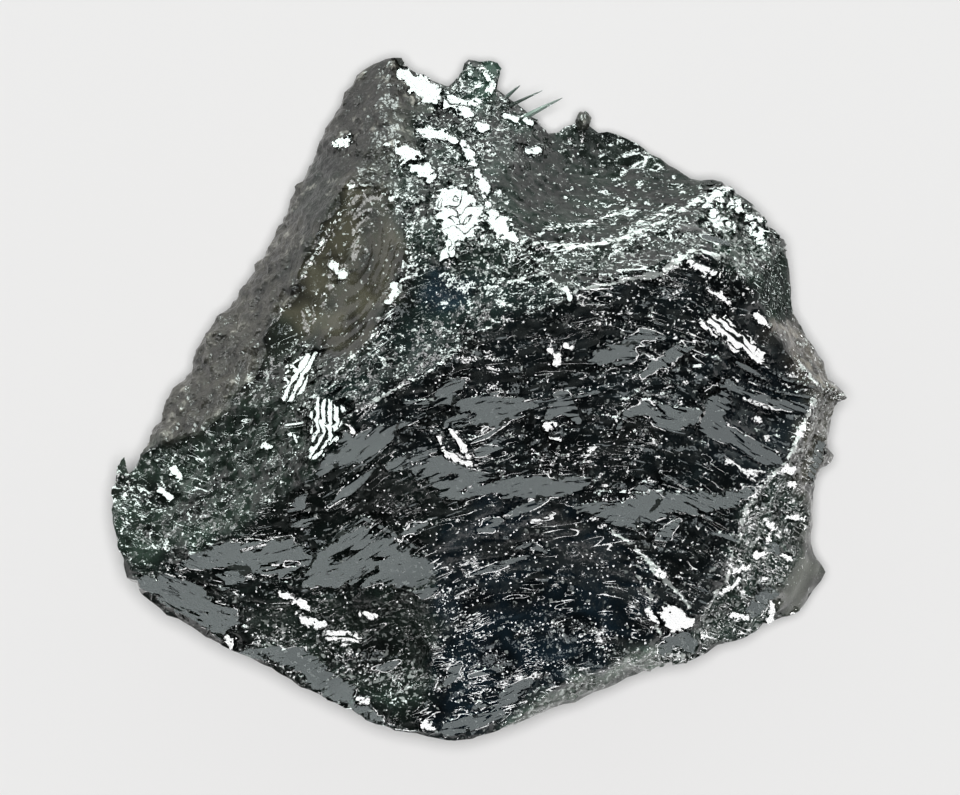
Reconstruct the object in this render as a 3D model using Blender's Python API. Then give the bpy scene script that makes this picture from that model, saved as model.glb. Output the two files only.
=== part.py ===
"""A rough piece of black to bottle-green tourmaline: one broken chunk, lying on its flattest fracture.

The stone is described the way a mineral dealer would: by the line where it is widest, the ridges where
two fracture faces meet, and what each face is like (how hollow, how hackly, how pebbly).  Everything is
in millimetres until the mesh is made.  X runs along the stone's length, Y across it, and Z up from the
surface it rests on.  Facing up is the big glassy fracture, and the grown crystal skin slopes to -X.
"""

import math

import bmesh
import bpy
import numpy as np
from mathutils import Vector, geometry, noise

MM = 0.001
UPPER_PITCH = 0.48  # spacing of the points on the upper faces and round the widest line
UNDER_PITCH = 0.95  # and on the flanks and the underside
JITTER = 0.2  # how far a point strays from an even spacing, as a share of it
LONGEST_EDGE = 1.2  # longer edges, on the steep faces, are divided
MERGE = 1e-4  # points closer than this are one point

# ---------------------------------------------------------------------------------------------------
# Ridge junctions (x, y, z): the corners where three or more fracture faces meet.
# ---------------------------------------------------------------------------------------------------
APEX = (3.3, 3.9, 14.2)
SHOULDER = (-5.4, -0.9, 14.0)
SKIN_TOP = (-3.4, 13.8, 6.6)
SKIN_KNEE = (-5.3, 8.7, 9.6)
SKIN_FOOT = (-9.4, 0.0, 9.8)
HOOK_NOTCH = (-13.7, -2.3, 8.2)
LOOP_TOP = (-3.7, 8.4, 10.4)
LOOP_SIDE = (-3.0, 6.6, 11.8)
LOOP_FOOT = (-7.2, -0.2, 11.9)
CHIP_LEFT = (-2.0, 7.8, 11.5)
CHIP_RIGHT = (0.9, 7.0, 12.0)
SCOOP_LEFT = (2.8, 10.6, 4.8)
SCOOP_RIGHT = (9.8, 8.8, 6.6)
RIM_END = (8.9, 7.3, 10.4)
LEDGE_END = (9.3, 5.8, 13.5)
CORNER_INNER = (10.8, 4.5, 12.8)
CORNER_OUTER = (12.5, 5.6, 6.8)
BROWN_INNER = (11.4, 3.0, 12.2)
BROWN_OUTER = (12.7, 3.5, 6.8)
SPUR = (14.9, -0.1, 8.6)
SPUR_INNER = (13.3, 0.5, 10.9)
BAND_MID = (11.2, -3.6, 12.6)
BAND_FOOT = (7.0, -10.0, 11.8)
LOBE_TOP = (13.5, -3.6, 6.4)
LOBE_FOOT = (11.9, -9.2, 7.0)
SILL_RIGHT = (8.7, -10.6, 9.6)
SILL_LEFT = (0.6, -13.6, 10.9)
FACE_LEFT = (-14.4, -6.5, 11.5)
STEP_LEFT = (-2.0, -6.3, 13.0)
STEP_MID = (5.2, -5.3, 13.1)
HOLLOW_FOOT = (-2.2, -12.6, 11.6)
HOLLOW_LEFT = (-9.5, -8.6, 12.2)
TONGUE = (-2.0, 13.1, 5.8)
BLOCK_LEFT = (-1.2, 12.6, 5.6)
BLOCK_RIGHT = (0.9, 12.4, 5.0)

# The widest line round the stone, clockwise from the top of the skin.
OUTLINE = [
    SKIN_TOP, (-3.0, 13.5, 6.4), TONGUE, (-1.6, 12.9, 5.7), BLOCK_LEFT, (-0.9, 13.3, 5.2),
    (-0.5, 13.7, 5.0), (0.8, 13.6, 4.8), (1.1, 13.2, 4.7), BLOCK_RIGHT, (1.7, 12.1, 4.8),
    (2.4, 11.4, 4.7), SCOOP_LEFT, (3.3, 11.1, 4.5), (3.85, 11.1, 4.4), (3.95, 11.45, 4.4),
    (4.25, 11.6, 4.4), (4.45, 11.4, 4.3), (4.5, 10.95, 4.2), (5.6, 10.8, 4.1), (6.4, 10.5, 4.2),
    (7.0, 10.0, 4.4), (8.0, 9.2, 5.0), (8.5, 8.9, 5.4), SCOOP_RIGHT, (11.1, 7.9, 7.0),
    (11.8, 7.1, 7.0), (12.3, 6.5, 6.8), CORNER_OUTER, (12.5, 4.7, 6.7), BROWN_OUTER,
    (13.1, 2.6, 6.9), (13.5, 2.1, 7.0), (14.0, 1.4, 7.3), (14.1, 0.8, 7.6), SPUR,
    (14.3, -0.5, 7.6), (14.2, -1.4, 7.2), (14.0, -2.0, 7.0), (14.4, -2.3, 6.6), (13.9, -3.0, 6.4),
    LOBE_TOP, (13.5, -5.1, 5.8), (13.5, -5.8, 5.6), (14.0, -7.0, 5.4), (13.6, -7.9, 5.5),
    (12.9, -8.7, 6.0), LOBE_FOOT, (10.8, -9.8, 7.8), (9.6, -10.2, 8.6), SILL_RIGHT,
    (7.4, -10.9, 9.4), (6.4, -11.2, 9.4), (4.7, -11.9, 9.4), (2.9, -12.6, 9.6), (1.4, -13.2, 10.1),
    SILL_LEFT, (-0.2, -13.8, 11.0), (-1.7, -13.8, 11.2), (-3.8, -13.4, 11.3), (-5.8, -12.4, 11.4),
    (-7.2, -11.7, 11.5), (-8.4, -10.9, 11.6), (-9.6, -10.4, 11.6), (-10.9, -9.7, 11.6),
    (-12.5, -8.9, 11.6), (-13.6, -8.0, 11.5), (-14.2, -7.3, 11.5), FACE_LEFT, (-14.8, -4.8, 10.2),
    (-14.8, -3.8, 9.4), (-14.6, -2.7, 8.6), (-14.1, -2.2, 8.2), (-13.95, -2.95, 8.7), HOOK_NOTCH,
    (-13.0, -1.0, 7.6), (-12.6, 0.1, 7.2), (-11.7, 1.1, 6.9), (-11.5, 1.9, 6.8), (-10.3, 3.6, 6.5),
    (-9.3, 4.7, 6.3), (-8.0, 7.1, 6.1), (-7.1, 8.8, 6.0), (-6.5, 10.2, 6.0), (-5.9, 11.5, 5.9),
    (-5.3, 12.6, 5.9), (-4.7, 13.4, 6.1),
]

# Ridges between the upper faces. Each runs from one junction to another.
UPPER_RIDGES = {
    "skin_upper": [SKIN_TOP, (-3.2, 11.8, 8.2), (-3.9, 9.9, 9.4), SKIN_KNEE],
    "skin_lower": [SKIN_KNEE, (-6.2, 7.2, 9.8), (-7.4, 4.5, 9.7), (-8.0, 3.1, 9.6), (-8.9, 1.5, 9.4),
                   SKIN_FOOT],
    "skin_end": [SKIN_FOOT, (-11.2, -1.3, 9.2), HOOK_NOTCH],
    "loop_head": [SKIN_KNEE, LOOP_TOP],
    "loop_outer": [LOOP_TOP, LOOP_SIDE, (-3.1, 4.6, 12.5), (-4.3, 2.5, 12.6), (-5.8, 1.0, 12.1),
                   LOOP_FOOT],
    "loop_tail": [LOOP_FOOT, SKIN_FOOT],
    "spine": [APEX, (1.6, 3.2, 14.3), (-0.1, 2.6, 14.4), (-1.9, 1.1, 14.4), (-3.8, 0.1, 14.3),
              SHOULDER],
    "spine_tail": [SHOULDER, (-6.2, -2.6, 13.7), (-7.6, -4.1, 13.4), (-10.2, -5.6, 12.7),
                   (-12.6, -6.7, 12.0), FACE_LEFT],
    "cheek": [LOOP_FOOT, SHOULDER],
    "chip_cheek": [LOOP_SIDE, CHIP_LEFT],
    "chip_crest": [CHIP_LEFT, (-0.4, 7.8, 11.4), CHIP_RIGHT],
    "chip_foot": [LOOP_SIDE, (-1.6, 6.0, 12.4), (0.6, 5.8, 12.8), (2.2, 5.2, 13.3), APEX],
    "tongue_left": [TONGUE, (-2.3, 11.2, 8.0), (-2.7, 9.7, 9.9), LOOP_TOP],
    "tongue_right": [BLOCK_LEFT, (-0.4, 11.2, 7.4), (0.2, 9.7, 9.0), (0.1, 8.6, 10.6), CHIP_RIGHT],
    "block_foot": [BLOCK_LEFT, (-0.1, 11.9, 6.6), BLOCK_RIGHT],
    "scoop_left": [SCOOP_LEFT, (1.4, 10.2, 7.2), (0.9, 8.7, 9.9), CHIP_RIGHT],
    "scoop_rim": [CHIP_RIGHT, (2.2, 6.1, 12.6), (4.4, 5.9, 12.5), (6.8, 6.4, 11.8), RIM_END],
    "scoop_end": [RIM_END, (9.5, 8.1, 8.9), SCOOP_RIGHT],
    "chip_end": [CHIP_RIGHT, (0.6, 5.8, 12.8)],
    "ledge": [APEX, (4.8, 4.6, 14.1), (6.9, 5.2, 13.9), LEDGE_END],
    "ledge_end": [RIM_END, LEDGE_END],
    "corner_top": [LEDGE_END, CORNER_INNER],
    "corner_split": [CORNER_INNER, (11.6, 5.6, 9.6), CORNER_OUTER],
    "corner_edge": [CORNER_INNER, BROWN_INNER],
    "brown_split": [BROWN_INNER, BROWN_OUTER],
    "brown_edge": [BROWN_INNER, (12.2, 1.8, 11.7), SPUR_INNER],
    "spur": [SPUR_INNER, SPUR],
    "band_upper": [SPUR_INNER, (12.9, -1.2, 11.8), (12.1, -2.8, 12.3), BAND_MID],
    "band_lower": [BAND_MID, (10.4, -4.8, 12.7), (10.1, -6.4, 12.5), (9.6, -7.8, 12.3),
                   (8.5, -8.9, 12.1), BAND_FOOT],
    "lobe_edge": [LOBE_TOP, (12.8, -4.1, 8.0), (13.0, -5.1, 7.0), (12.7, -6.3, 7.4),
                  (11.9, -7.5, 8.2), LOBE_FOOT],
    "sill_corner": [BAND_FOOT, SILL_RIGHT],
    "sill": [BAND_FOOT, (5.1, -10.7, 11.6), (3.4, -11.3, 11.6), (2.1, -12.4, 11.3), SILL_LEFT],
    "step": [SHOULDER, (-3.2, -2.5, 13.8), (0.0, -3.7, 13.6), (3.2, -4.3, 13.4), STEP_MID],
    "step_right": [STEP_MID, (6.8, -7.5, 12.7), (8.0, -8.9, 12.3), BAND_FOOT],
    "step_down": [(0.0, -3.7, 13.6), STEP_LEFT, (-1.7, -9.3, 12.4), HOLLOW_FOOT],
    "hollow_brow": [STEP_LEFT, (-4.4, -8.3, 12.7), (-7.2, -7.9, 12.6), HOLLOW_LEFT],
    "hollow_sill": [HOLLOW_LEFT, (-9.2, -9.7, 11.9), (-6.0, -11.5, 11.7), HOLLOW_FOOT],
    "keel": [HOLLOW_FOOT, (-1.7, -13.8, 11.2)],
    "left_sill": [HOLLOW_LEFT, (-12.0, -7.9, 12.0), (-13.6, -8.0, 11.5)],
    "shell": [CORNER_INNER, (9.4, 1.2, 13.0), (8.6, -1.4, 13.2), BAND_MID],
}

# What each upper face is like: a point inside it (x, y), how deep it is hollowed in the middle, how
# high its hackles or pebbles stand, and how long they are.
UPPER_FACES = {
    "skin": ((-7.5, 7.5), -0.25, 0.20, 1.3),
    "loop": ((-5.3, 4.6), 1.30, 0.10, 2.0),
    "slope": ((-1.6, 4.0), 0.45, 0.20, 1.6),
    "flank": ((-10.6, -3.2), 0.70, 0.26, 1.7),
    "chips": ((-1.0, 9.5), 0.50, 0.38, 1.3),
    "chip_face": ((-0.8, 6.9), 0.05, 0.14, 1.0),
    "upper_skin": ((-2.9, 11.5), 0.20, 0.24, 1.3),
    "block": ((0.1, 12.9), -0.35, 0.12, 1.0),
    "saddle": ((1.1, 11.2), 0.30, 0.30, 1.1),
    "scoop": ((5.2, 8.6), 1.90, 0.08, 2.6),
    "ledge_face": ((5.6, 5.5), 0.25, 0.24, 1.0),
    "corner": ((10.6, 7.0), 0.20, 0.38, 1.2),
    "corner_low": ((12.0, 4.4), 0.45, 0.12, 1.6),
    "brown": ((13.2, 1.7), 0.25, 0.26, 1.2),
    "main": ((2.0, 0.0), 0.30, 0.34, 2.0),
    "shell_face": ((11.0, 0.0), 1.00, 0.08, 2.4),
    "lower_face": ((3.5, -8.0), 1.10, 0.24, 2.0),
    "left_face": ((-5.5, -6.0), 0.20, 0.26, 2.2),
    "hollow": ((-5.8, -9.8), 1.70, 0.40, 1.5),
    "lower_rim": ((-7.0, -11.4), 0.15, 0.14, 1.8),
    "band": ((11.4, -6.0), 0.45, 0.34, 1.2),
    "lobe": ((13.3, -7.0), 0.35, 0.08, 2.4),
    "sill_face": ((5.0, -11.4), 0.20, 0.18, 1.2),
}

# Corners of the flat face the stone rests on, clockwise seen from above.
REST = [
    (-2.6, 6.6, 0.0), (2.4, 6.3, 0.0), (5.9, 3.2, 0.0), (6.9, -1.2, 0.0), (3.4, -5.2, 0.0),
    (-3.2, -5.6, 0.0), (-7.2, -2.4, 0.0), (-5.6, 2.9, 0.0),
]
REST_TOP, REST_TOP_RIGHT, REST_RIGHT, REST_LOW_RIGHT, REST_FOOT, REST_LOW_LEFT, REST_LEFT, REST_SKIN = REST

# Knuckles where the faces of the flanks and of the underside meet.
UNDER_TOP = (-3.5, 10.9, 2.6)
UNDER_TOP_RIGHT = (1.8, 9.9, 1.5)
UNDER_SCOOP = (7.2, 7.2, 2.3)
UNDER_CORNER = (10.6, 4.4, 3.3)
UNDER_SPUR = (11.9, -0.6, 4.6)
UNDER_LOBE = (11.0, -6.0, 1.7)
UNDER_SILL = (6.6, -8.4, 4.6)
UNDER_KEEL = (-0.8, -10.7, 4.4)
UNDER_LEFT = (-8.2, -8.0, 5.6)
UNDER_HOOK = (-12.3, -4.6, 4.2)
UNDER_SKIN = (-9.0, 0.6, 1.6)

UNDER_RIDGES = {
    "rest_edge": REST + REST[:1],
    "top_edge": [UNDER_TOP, (-0.9, 10.6, 1.8), UNDER_TOP_RIGHT],
    "top_left": [UNDER_TOP, (-4.3, 12.4, 4.6), (-4.7, 13.4, 6.1)],
    "top_foot": [UNDER_TOP, REST_TOP],
    "notch": [UNDER_TOP_RIGHT, (2.6, 10.7, 3.2), SCOOP_LEFT],
    "notch_foot": [UNDER_TOP_RIGHT, REST_TOP_RIGHT],
    "scoop_back": [UNDER_TOP_RIGHT, (4.6, 8.8, 1.5), UNDER_SCOOP],
    "scoop_flank": [UNDER_SCOOP, (8.8, 8.1, 4.4), SCOOP_RIGHT],
    "corner_back": [UNDER_SCOOP, (9.1, 6.1, 2.6), UNDER_CORNER],
    "corner_flank": [UNDER_CORNER, (11.9, 4.0, 4.8), BROWN_OUTER],
    "corner_foot": [UNDER_CORNER, (8.0, 3.7, 1.2), REST_RIGHT],
    "spur_back": [UNDER_CORNER, (11.5, 1.8, 3.9), UNDER_SPUR],
    "spur_flank": [UNDER_SPUR, (13.3, -0.4, 6.3), SPUR],
    "spur_foot": [UNDER_SPUR, (9.2, -1.0, 1.7), REST_LOW_RIGHT],
    "lobe_back": [UNDER_SPUR, (11.7, -3.2, 2.9), UNDER_LOBE],
    "lobe_flank": [UNDER_LOBE, (12.4, -7.3, 4.0), (12.9, -8.7, 6.0)],
    "lobe_foot": [UNDER_LOBE, REST_LOW_RIGHT],
    "sill_back": [UNDER_LOBE, (8.8, -7.4, 2.9), UNDER_SILL],
    "sill_flank": [UNDER_SILL, (7.5, -9.5, 7.0), SILL_RIGHT],
    "sill_foot": [UNDER_SILL, (4.9, -7.0, 2.0), REST_FOOT],
    "keel_back": [UNDER_SILL, (2.8, -9.7, 3.8), UNDER_KEEL],
    "keel_flank": [UNDER_KEEL, (-0.3, -12.3, 7.4), SILL_LEFT],
    "keel_foot": [UNDER_KEEL, (-2.0, -8.0, 1.4), REST_LOW_LEFT],
    "left_back": [UNDER_KEEL, (-4.4, -9.9, 5.2), UNDER_LEFT],
    "left_flank": [UNDER_LEFT, (-9.4, -9.2, 8.4), (-10.9, -9.7, 11.6)],
    "left_foot": [UNDER_LEFT, (-6.2, -5.9, 1.5), REST_LOW_LEFT],
    "hook_back": [UNDER_LEFT, (-10.4, -6.4, 4.9), UNDER_HOOK],
    "hook_flank": [UNDER_HOOK, (-13.7, -4.3, 6.8), (-14.8, -3.8, 9.4)],
    "hook_foot": [UNDER_HOOK, (-9.6, -3.4, 1.1), REST_LEFT],
    "skin_back": [UNDER_HOOK, (-11.2, -1.6, 2.0), UNDER_SKIN],
    "skin_foot": [UNDER_SKIN, (-7.2, 4.8, 1.4), (-5.3, 8.3, 1.5), UNDER_TOP],
    "skin_rest": [UNDER_SKIN, REST_SKIN],
}

UNDER_FACES = {
    "rest": ((0.0, 0.0), 0.0, 0.0, 1.0),
    "skin_flank": ((-9.6, 3.4), -0.60, 0.30, 1.3),
    "hook_face": ((-13.5, -5.8), 0.40, 0.24, 1.8),
    "left_flank": ((-5.4, -11.2), 1.30, 0.26, 2.2),
    "sill_flank": ((4.0, -11.3), 1.00, 0.22, 2.2),
    "lobe_under": ((9.6, -8.9), 0.50, 0.30, 1.8),
    "lobe_flank": ((12.9, -4.0), 0.40, 0.20, 1.8),
    "spur_flank": ((13.0, 1.6), 0.40, 0.30, 1.5),
    "corner_flank": ((10.8, 6.3), 0.80, 0.30, 1.8),
    "scoop_flank": ((5.4, 9.7), 0.50, 0.26, 1.8),
    "top_flank": ((-0.8, 12.0), 0.30, 0.32, 1.6),
    "skin_under": ((-6.6, 0.8), 0.15, 0.22, 1.6),
    "skin_back": ((-4.6, 6.4), 0.30, 0.26, 1.8),
    "hook_under": ((-9.6, -4.6), 0.50, 0.30, 1.8),
    "left_under": ((-5.0, -8.0), 0.70, 0.26, 2.0),
    "keel_under": ((1.8, -7.8), 0.60, 0.26, 2.0),
    "lobe_back": ((7.0, -5.8), 0.60, 0.30, 1.8),
    "spur_under": ((9.9, -3.0), 0.50, 0.28, 1.8),
    "corner_under": ((8.8, 1.4), 0.80, 0.24, 2.0),
    "scoop_under": ((5.6, 6.0), 0.40, 0.28, 1.8),
    "top_under": ((-0.2, 8.6), 0.30, 0.28, 1.8),
}

PLAIN = (0.1, 0.15, 1.6)  # hollow, hackle height and length of a face that isn't named
STEPPED = {"main", "left_face", "flank", "hollow", "lower_face", "chips", "slope", "ledge_face",
           "left_flank", "hook_under", "left_under", "corner_under", "spur_under", "scoop_flank"}
PEBBLED = {"skin", "upper_skin", "skin_flank", "brown"}

WANDER = 0.13  # how far the ridges wander
WANDER_LENGTH = 1.7
STEP_HEIGHT = 0.52  # height of one ledge of the stepped fractures
TREAD_SHARE = 0.6  # share of that height over which the tread stays level
LEDGE_WOBBLE = 0.45  # how far the lip of a ledge strays from a contour of the face
SHEET_NORMAL = Vector((0.05, -0.10, 1.0)).normalized()  # the sheets the fracture steps between
EDGE_HACKLE = 0.45  # share of the hackle left on a ridge

GREEN_BLACK = (0.012, 0.020, 0.017, 1.0)


def remove_everything():
    """Leaves an empty scene, whatever was open before."""
    for obj in list(bpy.data.objects):
        bpy.data.objects.remove(obj)


def hackle(place, length):
    """A jagged height between about -1 and 1: a broad swell and, on it, sharp crests."""
    where = place / length
    broad = noise.noise(where + Vector((7.3, 3.1, 5.7)))
    crest = 1.0 - 2.0 * abs(noise.noise(where * 2.1 + Vector((4.0, 9.0, 2.0))))
    return 0.9 * broad + 0.45 * (crest - 0.5)


def pebbles(place, length):
    """Rounded lumps packed side by side, each highest in its middle."""
    distances, _ = noise.voronoi(place / length)
    return 1.0 - 2.2 * distances[0]


def stepped_height(height):
    """A height moved towards the tread below it: wide level treads and short steep risers."""
    level = height / STEP_HEIGHT
    tread = math.floor(level)
    up = max(0.0, (level - tread - TREAD_SHARE) / (1.0 - TREAD_SHARE))
    return STEP_HEIGHT * (tread + up * up * (3.0 - 2.0 * up))


def ledges(place):
    """How far a point moves along the sheets' normal to lie on a ledge of a stepped fracture."""
    wobble = Vector((place.x / 2.6, place.y / 1.5, place.z / 2.0))
    height = place.dot(SHEET_NORMAL) + LEDGE_WOBBLE * noise.noise(wobble)
    return stepped_height(height) - place.dot(SHEET_NORMAL)


def divided(line, pitch, closed=False):
    """The points of a polyline, with more put in so that none is much further than pitch apart."""
    ends = line[1:] + line[:1] if closed else line[1:]
    found = []
    for start, end in zip(line, ends):
        a, b = np.array(start), np.array(end)
        parts = max(1, math.ceil(np.linalg.norm((b - a)[:2]) / pitch - 0.25))
        found += [tuple(a + (b - a) * i / parts) for i in range(parts)]
    return found if closed else found + [tuple(line[-1])]


def encloses(outline, points):
    """Which of the points (x, y) lie inside the closed outline."""
    found = np.zeros(len(points), dtype=bool)
    for (x0, y0, _), (x1, y1, _) in zip(outline, outline[1:] + outline[:1]):
        if y0 == y1:
            continue
        beside = (points[:, 1] > y0) != (points[:, 1] > y1)
        crossing = x0 + (points[:, 1] - y0) * (x1 - x0) / (y1 - y0)
        found ^= beside & (points[:, 0] < crossing)
    return found


def lattice_points(outline, lines, pitch):
    """A triangular lattice over the stone, kept clear of the ridges and of the widest line."""
    marks = np.array([p[:2] for line in [outline] + lines for p in line])
    low, high = marks.min(axis=0), marks.max(axis=0)
    row_height = pitch * math.sqrt(0.75)
    rows = range(math.ceil((high[1] - low[1]) / row_height))
    columns = range(math.ceil((high[0] - low[0]) / pitch) + 1)
    lattice = np.array([(low[0] + (c + 0.5 * (r % 2)) * pitch, low[1] + r * row_height)
                        for r in rows for c in columns])
    lattice += np.random.default_rng(7).uniform(-JITTER, JITTER, lattice.shape) * pitch
    lattice = lattice[encloses(outline, lattice)]
    apart = np.linalg.norm(lattice[:, None, :] - marks[None, :, :], axis=2).min(axis=1)
    return lattice[apart > 0.62 * pitch]


def triangulated(flat, heights, ridge_edges, rim_size):
    """The plan cut into triangles that keep to the ridges, with the heights known at its points."""
    made = geometry.delaunay_2d_cdt(flat, ridge_edges, [list(range(rim_size))], 1, MERGE)
    points, edges, triangles, sources, edge_sources, _ = made
    known = [next((heights[i] for i in source if heights[i] is not None), None) for source in sources]
    on_ridge = {tuple(sorted(edge)) for edge, source in zip(edges, edge_sources) if source}
    first_source = {i: p for p, source in enumerate(sources) for i in source}
    rim = [first_source[i] for i in range(rim_size)]
    return points, known, triangles, rim, on_ridge


def rim_chords(triangles, rim):
    """Edges that cut across a corner of the plan, from one point of the widest line to another."""
    on_rim = set(rim)
    outline = {tuple(sorted((rim[i], rim[i - 1]))) for i in range(len(rim))}
    sides = {tuple(sorted((t[i], t[i - 1]))) for t in triangles for i in range(3)}
    return sorted(side for side in sides - outline if side[0] in on_rim and side[1] in on_rim)


def flat_sheet(ridges, pitch, outward, bare=None):
    """Triangles over the plan of the stone that keep to its ridges: (points, known heights,
    triangles, points on the widest line, edges that lie on a ridge). Nothing is put inside bare."""
    outline = divided(OUTLINE, UPPER_PITCH, closed=True)
    lines = [divided(line, pitch) for line in ridges.values()]
    flat = [Vector(p[:2]) for p in outline]
    heights = [p[2] for p in outline]
    ridge_edges = []
    for line in lines:
        first = len(flat)
        flat += [Vector(p[:2]) for p in line]
        heights += [p[2] for p in line]
        ridge_edges += [(first + i, first + i + 1) for i in range(len(line) - 1)]
    free = lattice_points(outline, lines, pitch)
    if bare:
        free = free[~encloses(bare, free)]
    flat += [Vector(p) for p in free]
    heights += [None] * len(free)
    made = triangulated(flat, heights, ridge_edges, len(outline))
    for _ in range(4):
        points, known, triangles, rim, _ = made
        chords = rim_chords(triangles, rim)
        if not chords:
            break
        # A point in the middle of each keeps the two sides of a thin spot apart.
        for a, b in chords:
            flat.append((points[a] + points[b]) / 2)
            heights.append((known[a] + known[b]) / 2 + outward * 0.3 * (points[a] - points[b]).length)
        made = triangulated(flat, heights, ridge_edges, len(outline))
    return made


def regions(triangles, ridges):
    """A number for each triangle: those joined across anything but a ridge share one."""
    sides = {}
    for t, corners in enumerate(triangles):
        for i in range(3):
            sides.setdefault(tuple(sorted((corners[i], corners[i - 1]))), []).append(t)
    region = [-1] * len(triangles)
    for start in range(len(triangles)):
        if region[start] >= 0:
            continue
        region[start] = start
        todo = [start]
        while todo:
            corners = triangles[todo.pop()]
            around = {tuple(sorted((corners[i], corners[i - 1]))) for i in range(3)} - ridges
            for other in (t for side in around for t in sides[side]):
                if region[other] < 0:
                    region[other] = start
                    todo.append(other)
    return region


def name_regions(faces, points, triangles, region):
    """The name of each region that holds the seed point of one of the faces."""
    names = {}
    for name, (seed, *_) in faces.items():
        seed = Vector(seed)
        held = [region[t] for t, corners in enumerate(triangles)
                if geometry.intersect_point_tri_2d(seed, *[points[c] for c in corners])]
        if not held or held[0] in names:
            print("check the face", name, "beside", names.get(held[0]) if held else "nothing")
            continue
        names[held[0]] = name
    return names


def soap_film(points, known, triangles):
    """Heights of the free points, as a soap film takes them from the ridges, and how far each would
    bulge under an even pressure."""
    count = len(points)
    stiffness = np.zeros((count, count))
    for a, b in {tuple(sorted((t[i], t[i - 1]))) for t in triangles for i in range(3)}:
        stiffness[a, b] = stiffness[b, a] = -1.0
    stiffness[np.diag_indices(count)] = -stiffness.sum(axis=1)
    fixed = np.array([k is not None for k in known])
    free = ~fixed
    heights = np.array([k if k is not None else 0.0 for k in known])
    pull = np.stack([-stiffness[np.ix_(free, fixed)] @ heights[fixed], np.ones(free.sum())], axis=1)
    solved = np.linalg.solve(stiffness[np.ix_(free, free)], pull)
    heights[free] = solved[:, 0]
    bulge = np.zeros(count)
    bulge[free] = solved[:, 1]
    return heights, bulge


def shaped_sheet(ridges, faces, pitch, outward, bare=None):
    """One side of the stone with its hollows: (places, triangles, widest line, texture of each point).
    A texture is (calm, height, length, share stepped, share pebbled)."""
    points, known, triangles, rim, on_ridge = flat_sheet(ridges, pitch, outward, bare)
    region = regions(triangles, on_ridge)
    names = name_regions(faces, points, triangles, region)
    for r in sorted(set(region) - set(names)):
        middle = sum((points[t[0]] for t, g in zip(triangles, region) if g == r), Vector((0, 0)))
        print("unnamed face", [round(v, 1) for v in middle / region.count(r)], region.count(r))
    heights, bulge = soap_film(points, known, triangles)
    around = [set() for _ in points]
    for t, corners in enumerate(triangles):
        for c in corners:
            around[c].add(region[t])
    deepest = {face: max(bulge[c] for t, g in zip(triangles, region) if g == face for c in t)
               for face in set(region)}
    places = []
    textures = []
    for p, point in enumerate(points):
        named = [names.get(face, "") for face in sorted(around[p])]
        looks = [faces[name][1:] if name else PLAIN for name in named]
        hollow, height, length = np.mean(looks, axis=0)
        depth = bulge[p] / max(max(deepest[face] for face in around[p]), 1e-6)
        places.append(Vector((point.x, point.y, heights[p] - outward * hollow * depth)))
        calm = min(1.0, EDGE_HACKLE + 3.0 * depth)
        stepped = sum(name in STEPPED for name in named) / len(named)
        pebbled = sum(name in PEBBLED for name in named) / len(named)
        flat = "rest" in named
        textures.append((0.0 if flat else calm, height, length, stepped, pebbled))
    return places, triangles, rim, textures


def textured(place, normal, texture):
    """The place of a point once its ridge has wandered and its hackles, pebbles or ledges are on."""
    calm, height, length, stepped, pebbled = texture
    if calm == 0.0:
        return place
    drift = WANDER * noise.noise_vector(place / WANDER_LENGTH)
    relief = height * (pebbled * pebbles(place, length) + (1 - pebbled) * hackle(place, length))
    moved = place + drift + normal * calm * relief
    moved += SHEET_NORMAL * calm * stepped * ledges(moved)
    moved.z = max(moved.z, 0.04)
    return moved


def divide_long_edges(body):
    """Puts points in the middle of the long edges of the steep faces, but not of the resting face."""
    for _ in range(2):
        long = [edge for edge in body.edges
                if edge.calc_length() > LONGEST_EDGE and max(v.co.z for v in edge.verts) > 0.0]
        bmesh.ops.subdivide_edges(body, edges=long, cuts=1, use_grid_fill=False)
        bmesh.ops.triangulate(body, faces=[face for face in body.faces if len(face.verts) > 3])


def stone_mesh():
    """The whole stone as one closed bmesh, in metres, with its origin under the middle of its box."""
    upper = shaped_sheet(UPPER_RIDGES, UPPER_FACES, UPPER_PITCH, 1.0)
    under = shaped_sheet(UNDER_RIDGES, UNDER_FACES, UNDER_PITCH, -1.0, bare=REST)
    body = bmesh.new()
    texture_layers = [body.verts.layers.float.new(name)
                      for name in ("calm", "height", "length", "stepped", "pebbled")]
    widest = []
    for places, triangles, rim, textures in (upper, under):
        made = dict(zip(rim, widest))
        for p, place in enumerate(places):
            if p in made:
                continue
            made[p] = body.verts.new(place)
            for layer, value in zip(texture_layers, textures[p]):
                made[p][layer] = value
        widest = [made[p] for p in rim]
        for corners in triangles:
            body.faces.new([made[c] for c in corners])
    divide_long_edges(body)
    bmesh.ops.recalc_face_normals(body, faces=body.faces[:])
    body.normal_update()
    moved = [textured(v.co.copy(), v.normal, [v[layer] for layer in texture_layers])
             for v in body.verts]
    for v, place in zip(body.verts, moved):
        v.co = place
    for layer in texture_layers:
        body.verts.layers.float.remove(layer)
    places = np.array(moved)
    middle = (places.min(axis=0) + places.max(axis=0)) / 2
    bmesh.ops.translate(body, vec=(-middle[0], -middle[1], 0.0), verts=body.verts[:])
    bmesh.ops.scale(body, vec=(MM, MM, MM), verts=body.verts[:])
    return body


def tourmaline_material():
    """Dark bottle-green glass, nearly black in the mass, as tourmaline of this colour is."""
    material = bpy.data.materials.new("tourmaline")
    material.use_nodes = True
    shader = material.node_tree.nodes["Principled BSDF"]
    shader.inputs["Base Color"].default_value = GREEN_BLACK
    shader.inputs["Roughness"].default_value = 0.18
    shader.inputs["Metallic"].default_value = 0.0
    shader.inputs["IOR"].default_value = 1.63
    return material


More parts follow.
